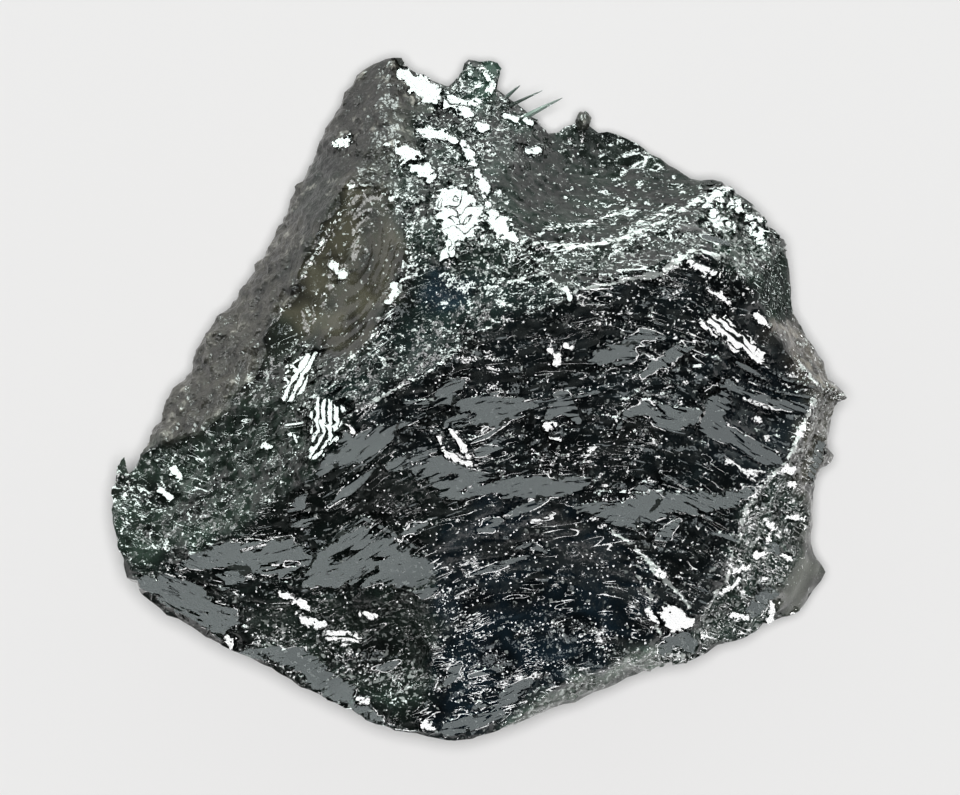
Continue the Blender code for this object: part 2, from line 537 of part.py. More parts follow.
def build():
    remove_everything()
    body = stone_mesh()
    mesh = bpy.data.meshes.new("rough_stone")
    body.to_mesh(mesh)
    body.free()
    mesh.materials.append(tourmaline_material())
    stone = bpy.data.objects.new("rough_stone", mesh)
    bpy.context.scene.collection.objects.link(stone)
    print("rough stone:", len(mesh.polygons), "triangles")


build()
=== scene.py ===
# %% [markdown]
# # Rough tourmaline
#
# Tourmaline this dark is a bottle-green glass that looks black where it is thick. The stone is one
# broken lump: most of it is fracture, and one long side still has its natural pebbly skin. What makes
# it look like tourmaline is how it breaks: flat mirror-like sheets with ragged lips between rough
# drops, smooth scooped shells with ripples, and edges thin enough to let light through.
#
# The plan is to take the plain solid, lay the real relief of each kind of break over it in mesh code,
# and give it one glass that is clear, dark and absorbing, with the skin painted on by an attribute.

# %% Load the solid
import math

import bmesh
import bpy
import numpy as np
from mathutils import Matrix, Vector, noise


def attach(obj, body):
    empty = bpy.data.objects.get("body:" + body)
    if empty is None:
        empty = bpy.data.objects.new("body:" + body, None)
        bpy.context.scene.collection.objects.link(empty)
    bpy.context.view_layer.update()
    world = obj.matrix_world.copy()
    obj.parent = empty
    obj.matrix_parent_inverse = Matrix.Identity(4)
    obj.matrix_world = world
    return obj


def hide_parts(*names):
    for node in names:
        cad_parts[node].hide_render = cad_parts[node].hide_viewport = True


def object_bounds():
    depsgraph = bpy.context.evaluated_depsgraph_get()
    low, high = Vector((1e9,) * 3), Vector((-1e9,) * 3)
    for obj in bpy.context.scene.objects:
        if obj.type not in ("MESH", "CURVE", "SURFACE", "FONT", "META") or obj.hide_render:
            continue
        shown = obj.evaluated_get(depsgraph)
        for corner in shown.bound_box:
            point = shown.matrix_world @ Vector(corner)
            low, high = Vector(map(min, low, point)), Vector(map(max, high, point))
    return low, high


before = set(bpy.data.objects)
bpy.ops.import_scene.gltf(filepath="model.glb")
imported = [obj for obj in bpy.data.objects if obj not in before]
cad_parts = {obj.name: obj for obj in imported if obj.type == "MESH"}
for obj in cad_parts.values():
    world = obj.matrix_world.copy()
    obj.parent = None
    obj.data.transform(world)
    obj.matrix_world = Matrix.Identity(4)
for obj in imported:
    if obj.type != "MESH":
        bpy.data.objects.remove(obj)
cad_box = [list(corner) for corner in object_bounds()]
stone_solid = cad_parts["rough_stone"]
MM = 0.001
print("CAD box in mm:", [[round(v / MM, 2) for v in corner] for corner in cad_box])

# %% [markdown]
# ## The stone as arrays
#
# Fine relief needs about a hundred thousand points, and moving those one by one in bmesh is slow.
# Here the mesh is two arrays, points and triangles, and every point carries extra numbers beside its
# place, such as how pebbly it is. Dividing an edge then mixes all of them at once. The solid arrives as
# loose triangles, so points in the same place are first made one.

# %% Weld the solid's loose triangles
WELD_DECIMALS = 4  # two points that agree to this many decimals of a millimetre are one

solid_mesh = stone_solid.data
solid_mesh.calc_loop_triangles()
places = np.zeros(len(solid_mesh.vertices) * 3)
solid_mesh.vertices.foreach_get("co", places)
places = places.reshape(-1, 3) / MM
corners = np.zeros(len(solid_mesh.loop_triangles) * 3, dtype=np.int64)
solid_mesh.loop_triangles.foreach_get("vertices", corners)
_, first, welded = np.unique(np.round(places, WELD_DECIMALS), axis=0, return_index=True, return_inverse=True)
points = places[first]
triangles = welded.reshape(-1)[corners].reshape(-1, 3)
triangles = triangles[(triangles != np.roll(triangles, 1, axis=1)).all(axis=1)]
print(len(points), "points,", len(triangles), "triangles in the solid")

# %% [markdown]
# ## What each face of the stone is like
#
# Seen from above, the stone falls into nearly thirty faces, each with its own kind of break. A face is
# an outline in plan, in millimetres, and what it is like. Millimetres say how high its hackles
# (splintery teeth), ripples, pebbles and broken blocks stand. Shares of one say how much natural skin
# it keeps, how crushed it is, how much it glints, how uneven it is, how cloudy the glass behind it is
# and how far it broke in sheets. The lean turns its small facets one way, and the colour is the cloud's.
# The outlines only have to be right to a tenth of a millimetre, because everything is blended across
# their borders.


# %% How a face's look is written
def linear(hex_colour, alpha=1.0):
    """An sRGB hex colour as the linear numbers a shader wants."""
    channels = [int(hex_colour[i:i + 2], 16) / 255 for i in (1, 3, 5)]
    return tuple(c / 12.92 if c <= 0.04045 else ((c + 0.055) / 1.055) ** 2.4 for c in channels) + (alpha,)


LOOKS = ("hackle", "ripple", "pebble", "block", "skin", "crushed", "glint", "uneven", "cloud", "sheeted",
         "lean_x", "lean_y", "lean_z", "red", "green", "blue")


def look(colour="#101613", **amounts):
    """One row of numbers that says what a face is like. What isn't named is nought."""
    tint = dict(zip(("red", "green", "blue"), linear(colour)))
    return [{**tint, **amounts}.get(name, 0.0) for name in LOOKS]


print("a look has", len(LOOKS), "numbers")

# %% [markdown]
# The faces are given from the skin on the left, over the top, to the right end. Where outlines overlap,
# the one that is given first wins, so a small face comes before the large one that it lies in.

# %% Faces: the skin, the loop and the slope
SKIN = look("#34312c", hackle=0.014, pebble=0.170, skin=1.0)
FACES = {
    # Darker than the skin round it: painted shade along the crease between the skin and the loop.
    "furrow": (
        [(-7.2, 9.9), (-6.0, 9.7), (-5.3, 9.0), (-5.6, 8.2), (-6.4, 6.9), (-7.5, 4.3), (-7.9, 4.5),
         (-7.1, 7.0), (-7.2, 8.4)],
        look("#141813", hackle=0.012, ripple=0.02, pebble=0.10, skin=1.0)),
    "peak": (
        [(-3.2, 14.4), (-3.1, 11.8), (-3.9, 9.9), (-5.2, 8.8), (-6.6, 8.2), (-7.5, 9.0), (-5.0, 14.4)],
        look("#211f1c", hackle=0.012, pebble=0.150, skin=1.0)),
    "skin": (
        [(-3.4, 14.2), (-3.2, 11.8), (-3.9, 9.9), (-5.3, 8.7), (-6.2, 7.2), (-7.4, 4.5), (-8.0, 3.1),
         (-8.9, 1.5), (-9.4, 0.0), (-11.2, -1.3), (-13.7, -2.3), (-14.8, -1.8), (-13.5, 1.0),
         (-8.0, 9.0), (-5.0, 14.4)],
        SKIN),
    "upper skin": (
        [(-3.4, 14.2), (-2.6, 13.8), (-2.0, 13.1), (-2.3, 11.2), (-2.7, 9.7), (-3.7, 8.4), (-5.3, 8.7),
         (-3.9, 9.9), (-3.2, 11.8)],
        look("#2b2c27", hackle=0.02, pebble=0.14, block=0.06, skin=0.7, crushed=0.2, glint=0.2,
             cloud=0.6)),
    "loop foot": (
        [(-9.4, 0.0), (-8.9, 1.5), (-8.0, 3.1), (-6.9, 2.3), (-5.2, 1.6), (-5.8, 1.0), (-7.2, -0.2)],
        look("#262b25", hackle=0.03, block=0.04, crushed=0.2, glint=0.3, uneven=1.0, cloud=0.5,
             lean_z=0.3)),
    "loop": (
        [(-5.3, 8.7), (-3.7, 8.4), (-3.0, 6.6), (-3.1, 4.6), (-4.3, 2.5), (-5.8, 1.0), (-7.2, -0.2),
         (-9.4, 0.0), (-8.9, 1.5), (-8.0, 3.1), (-7.4, 4.5), (-6.2, 7.2)],
        look("#3c392f", hackle=0.012, ripple=0.034, pebble=0.02, crushed=0.05, glint=0.08, uneven=0.3,
             cloud=0.75, lean_y=0.25)),
    "navy patch": (
        [(-2.2, 4.2), (-1.6, 5.2), (-0.6, 5.0), (-0.5, 3.9), (-1.2, 3.2), (-2.0, 3.4)],
        look("#1a2a35", hackle=0.03, crushed=0.12, glint=0.15, uneven=0.8, cloud=0.5)),
    "slope": (
        [(-3.0, 6.0), (-1.6, 5.1), (0.6, 4.8), (2.0, 4.7), (3.3, 3.9), (1.6, 3.2), (-0.1, 2.6),
         (-1.9, 1.1), (-3.8, 0.1), (-5.4, -0.9), (-7.2, -0.2), (-5.8, 1.0), (-4.3, 2.5), (-3.1, 4.6)],
        look("#182422", hackle=0.040, ripple=0.010, block=0.03, crushed=0.24, glint=0.22, uneven=0.8,
             cloud=0.6, lean_y=-0.1, lean_z=0.2)),
    "flank": (
        [(-9.4, 0.0), (-7.2, -0.2), (-5.4, -0.9), (-6.2, -2.6), (-7.6, -4.1), (-10.2, -5.6),
         (-12.6, -6.7), (-14.4, -6.5), (-15.4, -5.0), (-15.4, -3.0), (-14.0, -1.8), (-13.7, -2.3),
         (-11.2, -1.3)],
        look("#27322b", hackle=0.040, pebble=0.08, block=0.03, crushed=0.16, glint=0.4, uneven=1.3,
             cloud=0.7, lean_y=-0.35, lean_z=0.1)),
}
print(len(FACES), "faces on the side of the skin")

# %% Faces: the top, the scoop and the corner
FACES.update({
    "chips": (
        [(-1.2, 13.0), (-2.0, 13.1), (-2.3, 11.2), (-2.7, 9.7), (-3.7, 8.4), (-3.0, 6.0), (-1.6, 5.1),
         (0.6, 4.8), (2.0, 4.7), (0.6, 5.8), (0.9, 7.0), (0.1, 8.6), (0.2, 9.7), (-0.4, 11.2)],
        look("#242f2a", hackle=0.02, block=0.12, crushed=0.40, glint=0.5, uneven=0.9, cloud=0.5)),
    "block": (
        [(-1.2, 12.6), (-0.1, 11.9), (0.9, 12.4), (1.4, 13.2), (0.8, 14.2), (-0.8, 14.2)],
        look("#33473e", hackle=0.01, ripple=0.010, block=0.05, crushed=0.10, glint=0.1, cloud=0.6)),
    "saddle": (
        [(-1.2, 12.6), (-0.1, 11.9), (0.9, 12.4), (2.0, 12.4), (2.9, 10.8), (1.4, 10.2), (0.9, 8.7),
         (0.9, 7.0), (0.1, 8.6), (0.2, 9.7), (-0.4, 11.2)],
        look("#27342e", hackle=0.04, pebble=0.02, block=0.10, crushed=0.4, glint=0.4, uneven=0.9,
             cloud=0.5)),
    "scoop far": (
        [(2.8, 10.6), (3.2, 12.0), (4.6, 12.0), (6.4, 11.0), (7.4, 10.3), (6.2, 9.2), (3.6, 8.5),
         (0.9, 8.7), (1.4, 10.2)],
        look("#141b17", hackle=0.02, pebble=0.13, crushed=0.15, glint=0.06, uneven=1.0, cloud=0.65,
             lean_x=0.20, lean_y=-0.2, lean_z=0.2)),
    "scoop": (
        [(2.8, 10.6), (1.4, 10.2), (0.9, 8.7), (0.9, 7.0), (2.2, 6.1), (4.4, 5.9), (6.8, 6.4),
         (8.9, 7.3), (9.5, 8.1), (9.8, 9.0), (8.6, 9.4), (6.4, 11.0), (4.6, 12.0), (3.2, 12.0)],
        look("#1c2620", hackle=0.022, ripple=0.012, pebble=0.08, crushed=0.08, glint=0.08, uneven=1.3,
             cloud=0.5, lean_x=0.20, lean_y=-0.2, lean_z=0.3)),
    "ledge": (
        [(0.9, 7.0), (2.2, 6.1), (4.4, 5.9), (6.8, 6.4), (8.9, 7.3), (9.3, 5.8), (6.9, 5.2), (4.8, 4.6),
         (3.3, 3.9), (2.2, 5.2), (0.6, 5.8)],
        look("#222c27", hackle=0.06, block=0.08, crushed=0.4, glint=1.1, uneven=1.0, cloud=0.4)),
    "corner": (
        [(8.9, 7.3), (9.5, 8.1), (9.8, 9.0), (11.8, 8.4), (13.0, 6.2), (12.5, 5.6), (11.6, 5.6),
         (10.8, 4.5), (9.3, 5.8)],
        look("#26352d", hackle=0.05, block=0.16, crushed=0.6, glint=0.6, uneven=0.9, cloud=0.35)),
    "corner low": (
        [(10.8, 4.5), (11.6, 5.6), (12.5, 5.6), (13.2, 5.4), (13.0, 3.5), (11.4, 3.0)],
        look("#1e2922", hackle=0.02, ripple=0.010, block=0.03, crushed=0.2, glint=0.5, uneven=1.4,
             cloud=0.4, lean_z=1.2)),
    "brown spot": (
        [(11.4, 3.0), (13.0, 3.5), (14.4, 1.6), (15.4, -0.1), (13.3, 0.5), (12.2, 1.8)],
        look("#565049", hackle=0.02, pebble=0.080, block=0.06, skin=0.35, crushed=0.35, glint=0.7,
             uneven=1.3, cloud=0.5, lean_y=-0.2, lean_z=0.1)),
})
print(len(FACES), "faces with those round the scoop")

# %% Faces: the big face and the rim below it
FACES.update({
    "main": (
        [(3.3, 3.9), (4.8, 4.6), (6.9, 5.2), (9.3, 5.8), (10.8, 4.5), (9.4, 1.2), (8.6, -1.4),
         (11.2, -3.6), (10.4, -4.8), (10.1, -6.4), (9.6, -7.8), (8.5, -8.9), (7.0, -10.0), (8.0, -8.9),
         (6.8, -7.5), (5.2, -5.3), (3.2, -4.3), (0.0, -3.7), (-3.2, -2.5), (-5.4, -0.9), (-3.8, 0.1),
         (-1.9, 1.1), (-0.1, 2.6), (1.6, 3.2)],
        look("#141b1e", hackle=0.014, crushed=0.12, glint=0.5, uneven=0.15, cloud=0.42, sheeted=1.0,
             lean_y=-0.28)),
    "shells": (
        [(10.8, 4.5), (11.4, 3.0), (12.2, 1.8), (13.3, 0.5), (12.9, -1.2), (12.1, -2.8), (11.2, -3.6),
         (8.6, -1.4), (9.4, 1.2)],
        look("#11181d", hackle=0.006, ripple=0.020, crushed=0.03, glint=0.06, cloud=0.5, sheeted=0.8,
             lean_y=-0.22)),
    "lower": (
        [(0.0, -3.7), (3.2, -4.3), (5.2, -5.3), (6.8, -7.5), (8.0, -8.9), (7.0, -10.0), (5.1, -10.7),
         (3.4, -11.3), (2.1, -12.4), (0.6, -13.6), (-1.7, -14.2), (-2.2, -12.6), (-1.7, -9.3),
         (-2.0, -6.3)],
        look("#16242e", hackle=0.014, crushed=0.16, glint=1.2, cloud=0.45, sheeted=0.6, lean_y=-0.20)),
    "left": (
        [(-5.4, -0.9), (-3.2, -2.5), (0.0, -3.7), (-2.0, -6.3), (-4.4, -8.3), (-7.2, -7.9), (-9.5, -8.6),
         (-12.0, -7.9), (-13.6, -8.0), (-14.8, -6.9), (-12.6, -6.7), (-10.2, -5.6), (-7.6, -4.1),
         (-6.2, -2.6)],
        look("#161f1d", hackle=0.014, crushed=0.12, glint=0.45, cloud=0.34, sheeted=1.0, lean_y=-0.28)),
    "hollow": (
        [(-2.0, -6.3), (-1.7, -9.3), (-2.2, -12.6), (-6.0, -11.5), (-9.2, -9.7), (-9.5, -8.6),
         (-7.2, -7.9), (-4.4, -8.3)],
        look("#242f29", hackle=0.030, block=0.03, crushed=0.40, glint=0.4, uneven=0.4, cloud=0.5,
             sheeted=0.5, lean_y=-0.1)),
    "rim": (
        [(-9.5, -8.6), (-9.2, -9.7), (-6.0, -11.5), (-2.2, -12.6), (-1.7, -14.4), (-6.0, -13.6),
         (-14.0, -8.8), (-13.6, -8.0), (-12.0, -7.9)],
        look("#181f1c", hackle=0.012, ripple=0.010, block=0.02, crushed=0.12, glint=0.12, cloud=0.3,
             sheeted=0.6, lean_y=-0.16)),
})
print(len(FACES), "faces with those that broke in sheets")

# %% Faces: the right end
FACES.update({
    "band top": (
        [(13.3, 0.5), (15.4, -0.1), (14.8, -2.6), (13.5, -3.6), (12.8, -4.1), (12.1, -2.8),
         (12.9, -1.2)],
        look("#55534b", hackle=0.04, block=0.08, crushed=0.35, glint=0.8, uneven=1.6, cloud=0.55)),
    "band": (
        [(11.2, -3.6), (12.1, -2.8), (12.9, -1.2), (13.3, 0.5), (15.4, -0.1), (14.8, -2.6), (13.5, -3.6),
         (12.8, -4.1), (13.0, -5.1), (12.7, -6.3), (11.9, -7.5), (11.9, -9.4), (10.5, -10.4),
         (8.7, -10.8), (7.0, -10.0), (8.5, -8.9), (9.6, -7.8), (10.1, -6.4), (10.4, -4.8)],
        look("#37463f", hackle=0.05, block=0.18, crushed=0.55, glint=1.2, uneven=1.8, cloud=0.5,
             lean_z=0.6)),
    # Its pale cloud is partly the smoky glass's own tone and partly painted light, standing in for light
    # that comes through this thin edge.
    "lobe": (
        [(13.5, -3.6), (12.8, -4.1), (13.0, -5.1), (12.7, -6.3), (11.9, -7.5), (11.9, -9.4),
         (13.9, -8.8), (14.8, -7.0), (14.4, -4.6)],
        look("#62645c", hackle=0.006, ripple=0.022, crushed=0.05, glint=0.04, uneven=0.2, cloud=0.5)),
    "sill": (
        [(7.0, -10.0), (5.1, -10.7), (3.4, -11.3), (2.1, -12.4), (0.6, -13.6), (0.8, -14.2),
         (5.0, -13.0), (8.9, -11.2)],
        look("#646f66", hackle=0.03, ripple=0.024, block=0.06, crushed=0.6, glint=0.7, uneven=2.0,
             cloud=0.7)),
})
print(len(FACES), "faces in all")

# %% [markdown]
# The underside has two looks: the skin goes on round the stone's left edge, and the rest is broken.

# %% Faces: the underside
UNDER_SKIN = (
    [(-4.7, 14.2), (-4.3, 12.4), (-3.5, 10.9), (-5.3, 8.3), (-7.2, 4.8), (-9.0, 0.6), (-11.2, -1.6),
     (-12.2, -4.6), (-15.6, -4.0), (-15.0, -1.0), (-8.0, 10.0)],
    SKIN)
UNDER_BREAK = look("#1b231f", hackle=0.05, ripple=0.015, block=0.06, crushed=0.2, glint=0.3, cloud=0.35)
print("the skin underneath has an outline of", len(UNDER_SKIN[0]), "points")

# %% [markdown]
# Which face a point belongs to is a question in plan: whether it lies inside the outline, and if it
# lies in none, how far off each one is.


# %% Tell what is inside an outline
def inside(outline, x, y):
    """Which points in plan lie inside the closed outline."""
    found = np.zeros(len(x), dtype=bool)
    for (x0, y0), (x1, y1) in zip(outline, outline[1:] + outline[:1]):
        if y0 != y1:
            found ^= ((y > y0) != (y > y1)) & (x < x0 + (y - y0) * (x1 - x0) / (y1 - y0))
    return found


def distance_to(outline, x, y):
    """How far points in plan are from the closed outline."""
    nearest = np.full(len(x), np.inf)
    for (x0, y0), (x1, y1) in zip(outline, outline[1:] + outline[:1]):
        dx, dy = x1 - x0, y1 - y0
        along = np.clip(((x - x0) * dx + (y - y0) * dy) / (dx * dx + dy * dy), 0.0, 1.0)
        nearest = np.minimum(nearest, np.hypot(x - x0 - along * dx, y - y0 - along * dy))
    return nearest


print(int(inside(FACES["main"][0], points[:, 0], points[:, 1]).sum()), "points lie over the big face")

# %% [markdown]
# Each point takes the look of the face it lies in, or of the nearest one. Straight borders would look
# drawn with a ruler, so a point is looked up a little aside of where it is, by two slow waves.


# %% Give every point its face
def unit(vectors):
    """Rows of an array made one long."""
    return vectors / np.maximum(np.linalg.norm(vectors, axis=-1, keepdims=True), 1e-12)


def point_normals(points, triangles):
    """Each point's normal: the mean of its triangles', the larger ones counting for more."""
    a, b, c = (points[triangles[:, i]] for i in range(3))
    across = np.cross(b - a, c - a)
    total = np.zeros_like(points)
    for i in range(3):
        for axis in range(3):
            total[:, axis] += np.bincount(triangles[:, i], across[:, axis], len(points))
    return unit(total)


WANDER = 0.2  # mm, how far the borders stray from their outlines

x = points[:, 0] + WANDER * np.sin(2.9 * points[:, 1] + 1.6 * np.sin(1.9 * points[:, 0]))
y = points[:, 1] + WANDER * np.sin(2.6 * points[:, 0] + 1.8 * np.sin(2.2 * points[:, 1]))
face_of = np.full(len(points), -1)
nearest = np.full(len(points), np.inf)
for number, (outline, _) in enumerate(FACES.values()):
    away = np.where(inside(outline, x, y), 0.0, distance_to(outline, x, y))
    face_of = np.where(away < nearest, number, face_of)
    nearest = np.minimum(nearest, away)
looks = np.array([row for _, row in FACES.values()])[face_of]
below = point_normals(points, triangles)[:, 2] < 0.0
under_skin = below & inside(UNDER_SKIN[0], x, y)
looks[below] = UNDER_BREAK
looks[under_skin] = UNDER_SKIN[1]
face_of[below] = len(FACES)
face_of[under_skin] = len(FACES) + 1
for number, name in enumerate(FACES):
    print(name, int((face_of == number).sum()), "points")

# %% [markdown]
# ## Smooth the coarse facets away
#
# The solid is faceted at about half a millimetre, which is right for a source part but would show as
# little flat triangles in a glossy stone. Inside each face its points are drawn towards their
# neighbours, while points on a ridge between two faces hardly move, so the ridges keep their line.


# %% Relax the insides of the faces
def sides_of(triangles):
    """The mesh's edges (a < b), and which edge each triangle's three sides are."""
    ends = np.sort(triangles[:, [[0, 1], [1, 2], [2, 0]]].reshape(-1, 2), axis=1)
    keys = ends[:, 0] * (triangles.max() + 1) + ends[:, 1]
    _, first, which = np.unique(keys, return_index=True, return_inverse=True)
    return ends[first], which.reshape(-1, 3)


def relaxed(values, edges, rounds, share):
    """Values drawn towards the mean of their neighbours, by a share that may differ between points."""
    degree = np.maximum(np.bincount(edges.reshape(-1), minlength=len(values)), 1)[:, None]
    for _ in range(rounds):
        total = np.zeros_like(values)
        for column in range(values.shape[1]):
            total[:, column] = (np.bincount(edges[:, 0], values[edges[:, 1], column], len(values))
                                + np.bincount(edges[:, 1], values[edges[:, 0], column], len(values)))
        values = values + share * (total / degree - values)
    return values


RESTING = 1e-3  # mm, a point lower than this lies on the floor and never moves
RELAX_ROUNDS = 6
SHARE_INSIDE = 0.6
SHARE_ON_RIDGE = 0.12

edges, _ = sides_of(triangles)
on_ridge = np.zeros(len(points), dtype=bool)
mixed = face_of[edges[:, 0]] != face_of[edges[:, 1]]
on_ridge[edges[mixed].reshape(-1)] = True
resting = points[:, 2] < RESTING
# Blocky places are left coarser.
rough_share = np.clip(1.0 - 5.0 * looks[:, LOOKS.index("block")], 0.25, 1.0)
share = np.where(on_ridge, SHARE_ON_RIDGE, SHARE_INSIDE * rough_share)[:, None] * ~resting[:, None]
points = relaxed(points, edges, RELAX_ROUNDS, share)
print(int(on_ridge.sum()), "points lie on ridges")

# %% [markdown]
# ## Divide the mesh finely
#
# The relief to come has lips and ripples a tenth of a millimetre wide, so the upper faces are divided
# until no edge is much longer than that; the underside can stay coarser. A new point in the middle of
# an edge is lifted onto the curve that the normals at its two ends ask for, so that a scooped face
# comes out round. Where those normals differ a lot there is a real edge, and nothing is lifted.
#
# First comes the cutting itself, which is used again later for the outlines of the flats. It works for
# all of the triangles at once, sorted by how many of their sides are cut.


# %% Cut edges anywhere along them
def divided(data, triangles, cut_at, lift=None):
    """Cuts edges and makes new triangles. cut_at holds, for each edge, the share of the way along it
    where a new point goes, or nan for an edge that stays whole."""
    edges, sides = sides_of(triangles)
    cut = ~np.isnan(cut_at)
    share = cut_at[cut][:, None]
    new = data[edges[cut, 0]] * (1 - share) + data[edges[cut, 1]] * share
    if lift is not None:
        new[:, :3] += lift[cut]
    number = np.full(len(edges), -1)
    number[cut] = len(data) + np.arange(cut.sum())
    middle = number[sides]
    count = (middle >= 0).sum(axis=1)
    made = [triangles[count == 0]]
    # Turn each triangle round so that its cut sides come first.
    for cuts in (1, 2, 3):
        some = count == cuts
        tri, mid = triangles[some], middle[some]
        if cuts == 1:
            turn = np.argmax(mid >= 0, axis=1)
        elif cuts == 2:
            turn = (np.argmax(mid < 0, axis=1) + 1) % 3
        else:
            turn = np.zeros(len(tri), dtype=int)
        order = (np.arange(3) + turn[:, None]) % 3
        a, b, c = np.take_along_axis(tri, order, axis=1).T
        p, q, r = np.take_along_axis(mid, order, axis=1).T
        if cuts == 1:
            made += [np.stack(t, axis=1) for t in ((a, p, c), (p, b, c))]
        elif cuts == 2:
            made += [np.stack(t, axis=1) for t in ((p, b, q), (a, p, q), (a, q, c))]
        else:
            made += [np.stack(t, axis=1) for t in ((a, p, r), (p, b, q), (r, q, c), (p, q, r))]
    return np.vstack([data, new]), np.vstack(made)


one_divided = divided(points, triangles[:1], np.full(3, 0.5))[1]
print("a triangle with all of its sides cut makes", len(one_divided))

# %% [markdown]
# The longest edges are halved turn by turn until none is too long. After that the numbers that say what
# a face is like are blended a little, so that one kind of break goes over into the next.

# %% Divide long edges
SHARP_COSINE = 0.75  # two normals that agree less than this have a real edge between them
SHARP_FADE = 0.15  # the cosines above it over which the edge becomes a round one
UPPER_EDGE = 0.185  # mm, about the longest edge above
UNDER_EDGE = 0.45  # mm, about the longest edge underneath
SLACK = 1.35  # an edge is cut only where it is so many times too long
MOST_TURNS = 5
BLEND_ROUNDS = 3


def curve_lift(points, edges, normals):
    """How far the middle of each edge must rise to lie on the curve its end normals ask for."""
    a, b = points[edges[:, 0]], points[edges[:, 1]]
    na, nb = normals[edges[:, 0]], normals[edges[:, 1]]
    along = b - a
    rise = ((along * nb).sum(axis=1)[:, None] * nb - (along * na).sum(axis=1)[:, None] * na) / 8
    gentle = np.clip(((na * nb).sum(axis=1) - SHARP_COSINE) / SHARP_FADE, 0.0, 1.0)[:, None]
    return rise * gentle


data = np.hstack([points, looks, below[:, None].astype(float)])
COLUMN = {name: 3 + i for i, name in enumerate(LOOKS)}
BELOW = data.shape[1] - 1
for turn in range(MOST_TURNS):
    edges, _ = sides_of(triangles)
    ends = data[edges]
    length = np.linalg.norm(ends[:, 0, :3] - ends[:, 1, :3], axis=1)
    limit = UPPER_EDGE + (UNDER_EDGE - UPPER_EDGE) * ends[:, :, BELOW].mean(axis=1)
    # The resting face is flat and needs no more points.
    flat = ends[:, :, 2].max(axis=1) < RESTING
    too_long = (length > limit * SLACK) & ~flat
    if not too_long.any():
        break
    normals = point_normals(data[:, :3], triangles)
    lift = curve_lift(data[:, :3], edges, normals)
    data, triangles = divided(data, triangles, np.where(too_long, 0.5, np.nan), lift)
edges, _ = sides_of(triangles)
data[:, 3:] = relaxed(data[:, 3:], edges, BLEND_ROUNDS, SHARE_INSIDE)
print(len(data), "points,", len(triangles), "triangles after dividing")

# %% [markdown]
# ## Sheets, mirrors and chipped ridges
#
# The big face broke along parallel sheets. Each sheet is flat, so it mirrors one patch of the studio
# all at once, and its outline is a ragged lip with long feathers that point the way the crack ran.
# Smaller flats lie at other slants: some face the bright end of the studio and flash white. Where each
# one lies is particular to this stone, so they are drawn as strokes: a row of points (x, y, half-width)
# in millimetres in plan. Noise then makes each stroke's edge ragged.

# %% Strokes: sheets at the lower left
SHEETS = [
    # The plates along the lower left edge, and the necks that join them.
    [(-13.2, -7.5, 0.45), (-11.8, -7.9, 0.75), (-10.3, -8.8, 0.60)],
    [(-11.9, -6.7, 0.15), (-10.6, -6.4, 0.40), (-9.2, -6.4, 0.75), (-7.8, -6.3, 0.80), (-7.0, -6.3, 0.40)],
    [(-10.2, -7.3, 0.45), (-9.5, -6.8, 0.40)],
    # The peaked plate, with a thin arc over it.
    [(-6.7, -7.3, 0.40), (-5.8, -6.7, 0.85), (-4.8, -6.3, 1.15), (-3.6, -6.6, 0.95), (-2.4, -7.1, 0.60),
     (-2.2, -7.6, 0.40)],
    [(-6.0, -5.8, 0.06), (-5.4, -5.2, 0.08), (-4.6, -4.8, 0.08), (-3.5, -5.4, 0.06), (-2.2, -6.2, 0.05)],
    [(-4.3, -10.8, 0.04), (-3.7, -10.7, 0.22), (-3.2, -10.5, 0.05)],
    # Along the lower rim.
    [(-9.5, -10.2, 0.12), (-8.2, -10.2, 0.35), (-7.0, -10.4, 0.45), (-6.0, -11.5, 0.50), (-4.8, -12.4, 0.45),
     (-3.8, -13.2, 0.30)],
    [(-3.7, -13.4, 0.15), (-1.6, -13.6, 0.20)],
    [(-1.7, -13.4, 0.10), (-0.6, -13.0, 0.40), (0.8, -12.6, 0.15)],
    [(-1.4, -11.4, 0.10), (-1.1, -11.0, 0.30), (-0.8, -10.6, 0.10)],
    [(-0.4, -11.1, 0.06), (0.8, -10.8, 0.15)],
    [(-0.4, -12.4, 0.05), (0.0, -12.3, 0.18), (0.4, -12.2, 0.05)],
    [(0.5, -12.4, 0.10), (1.2, -11.8, 0.35), (2.0, -11.3, 0.10)],
]
print(len(SHEETS), "sheets at the lower left")

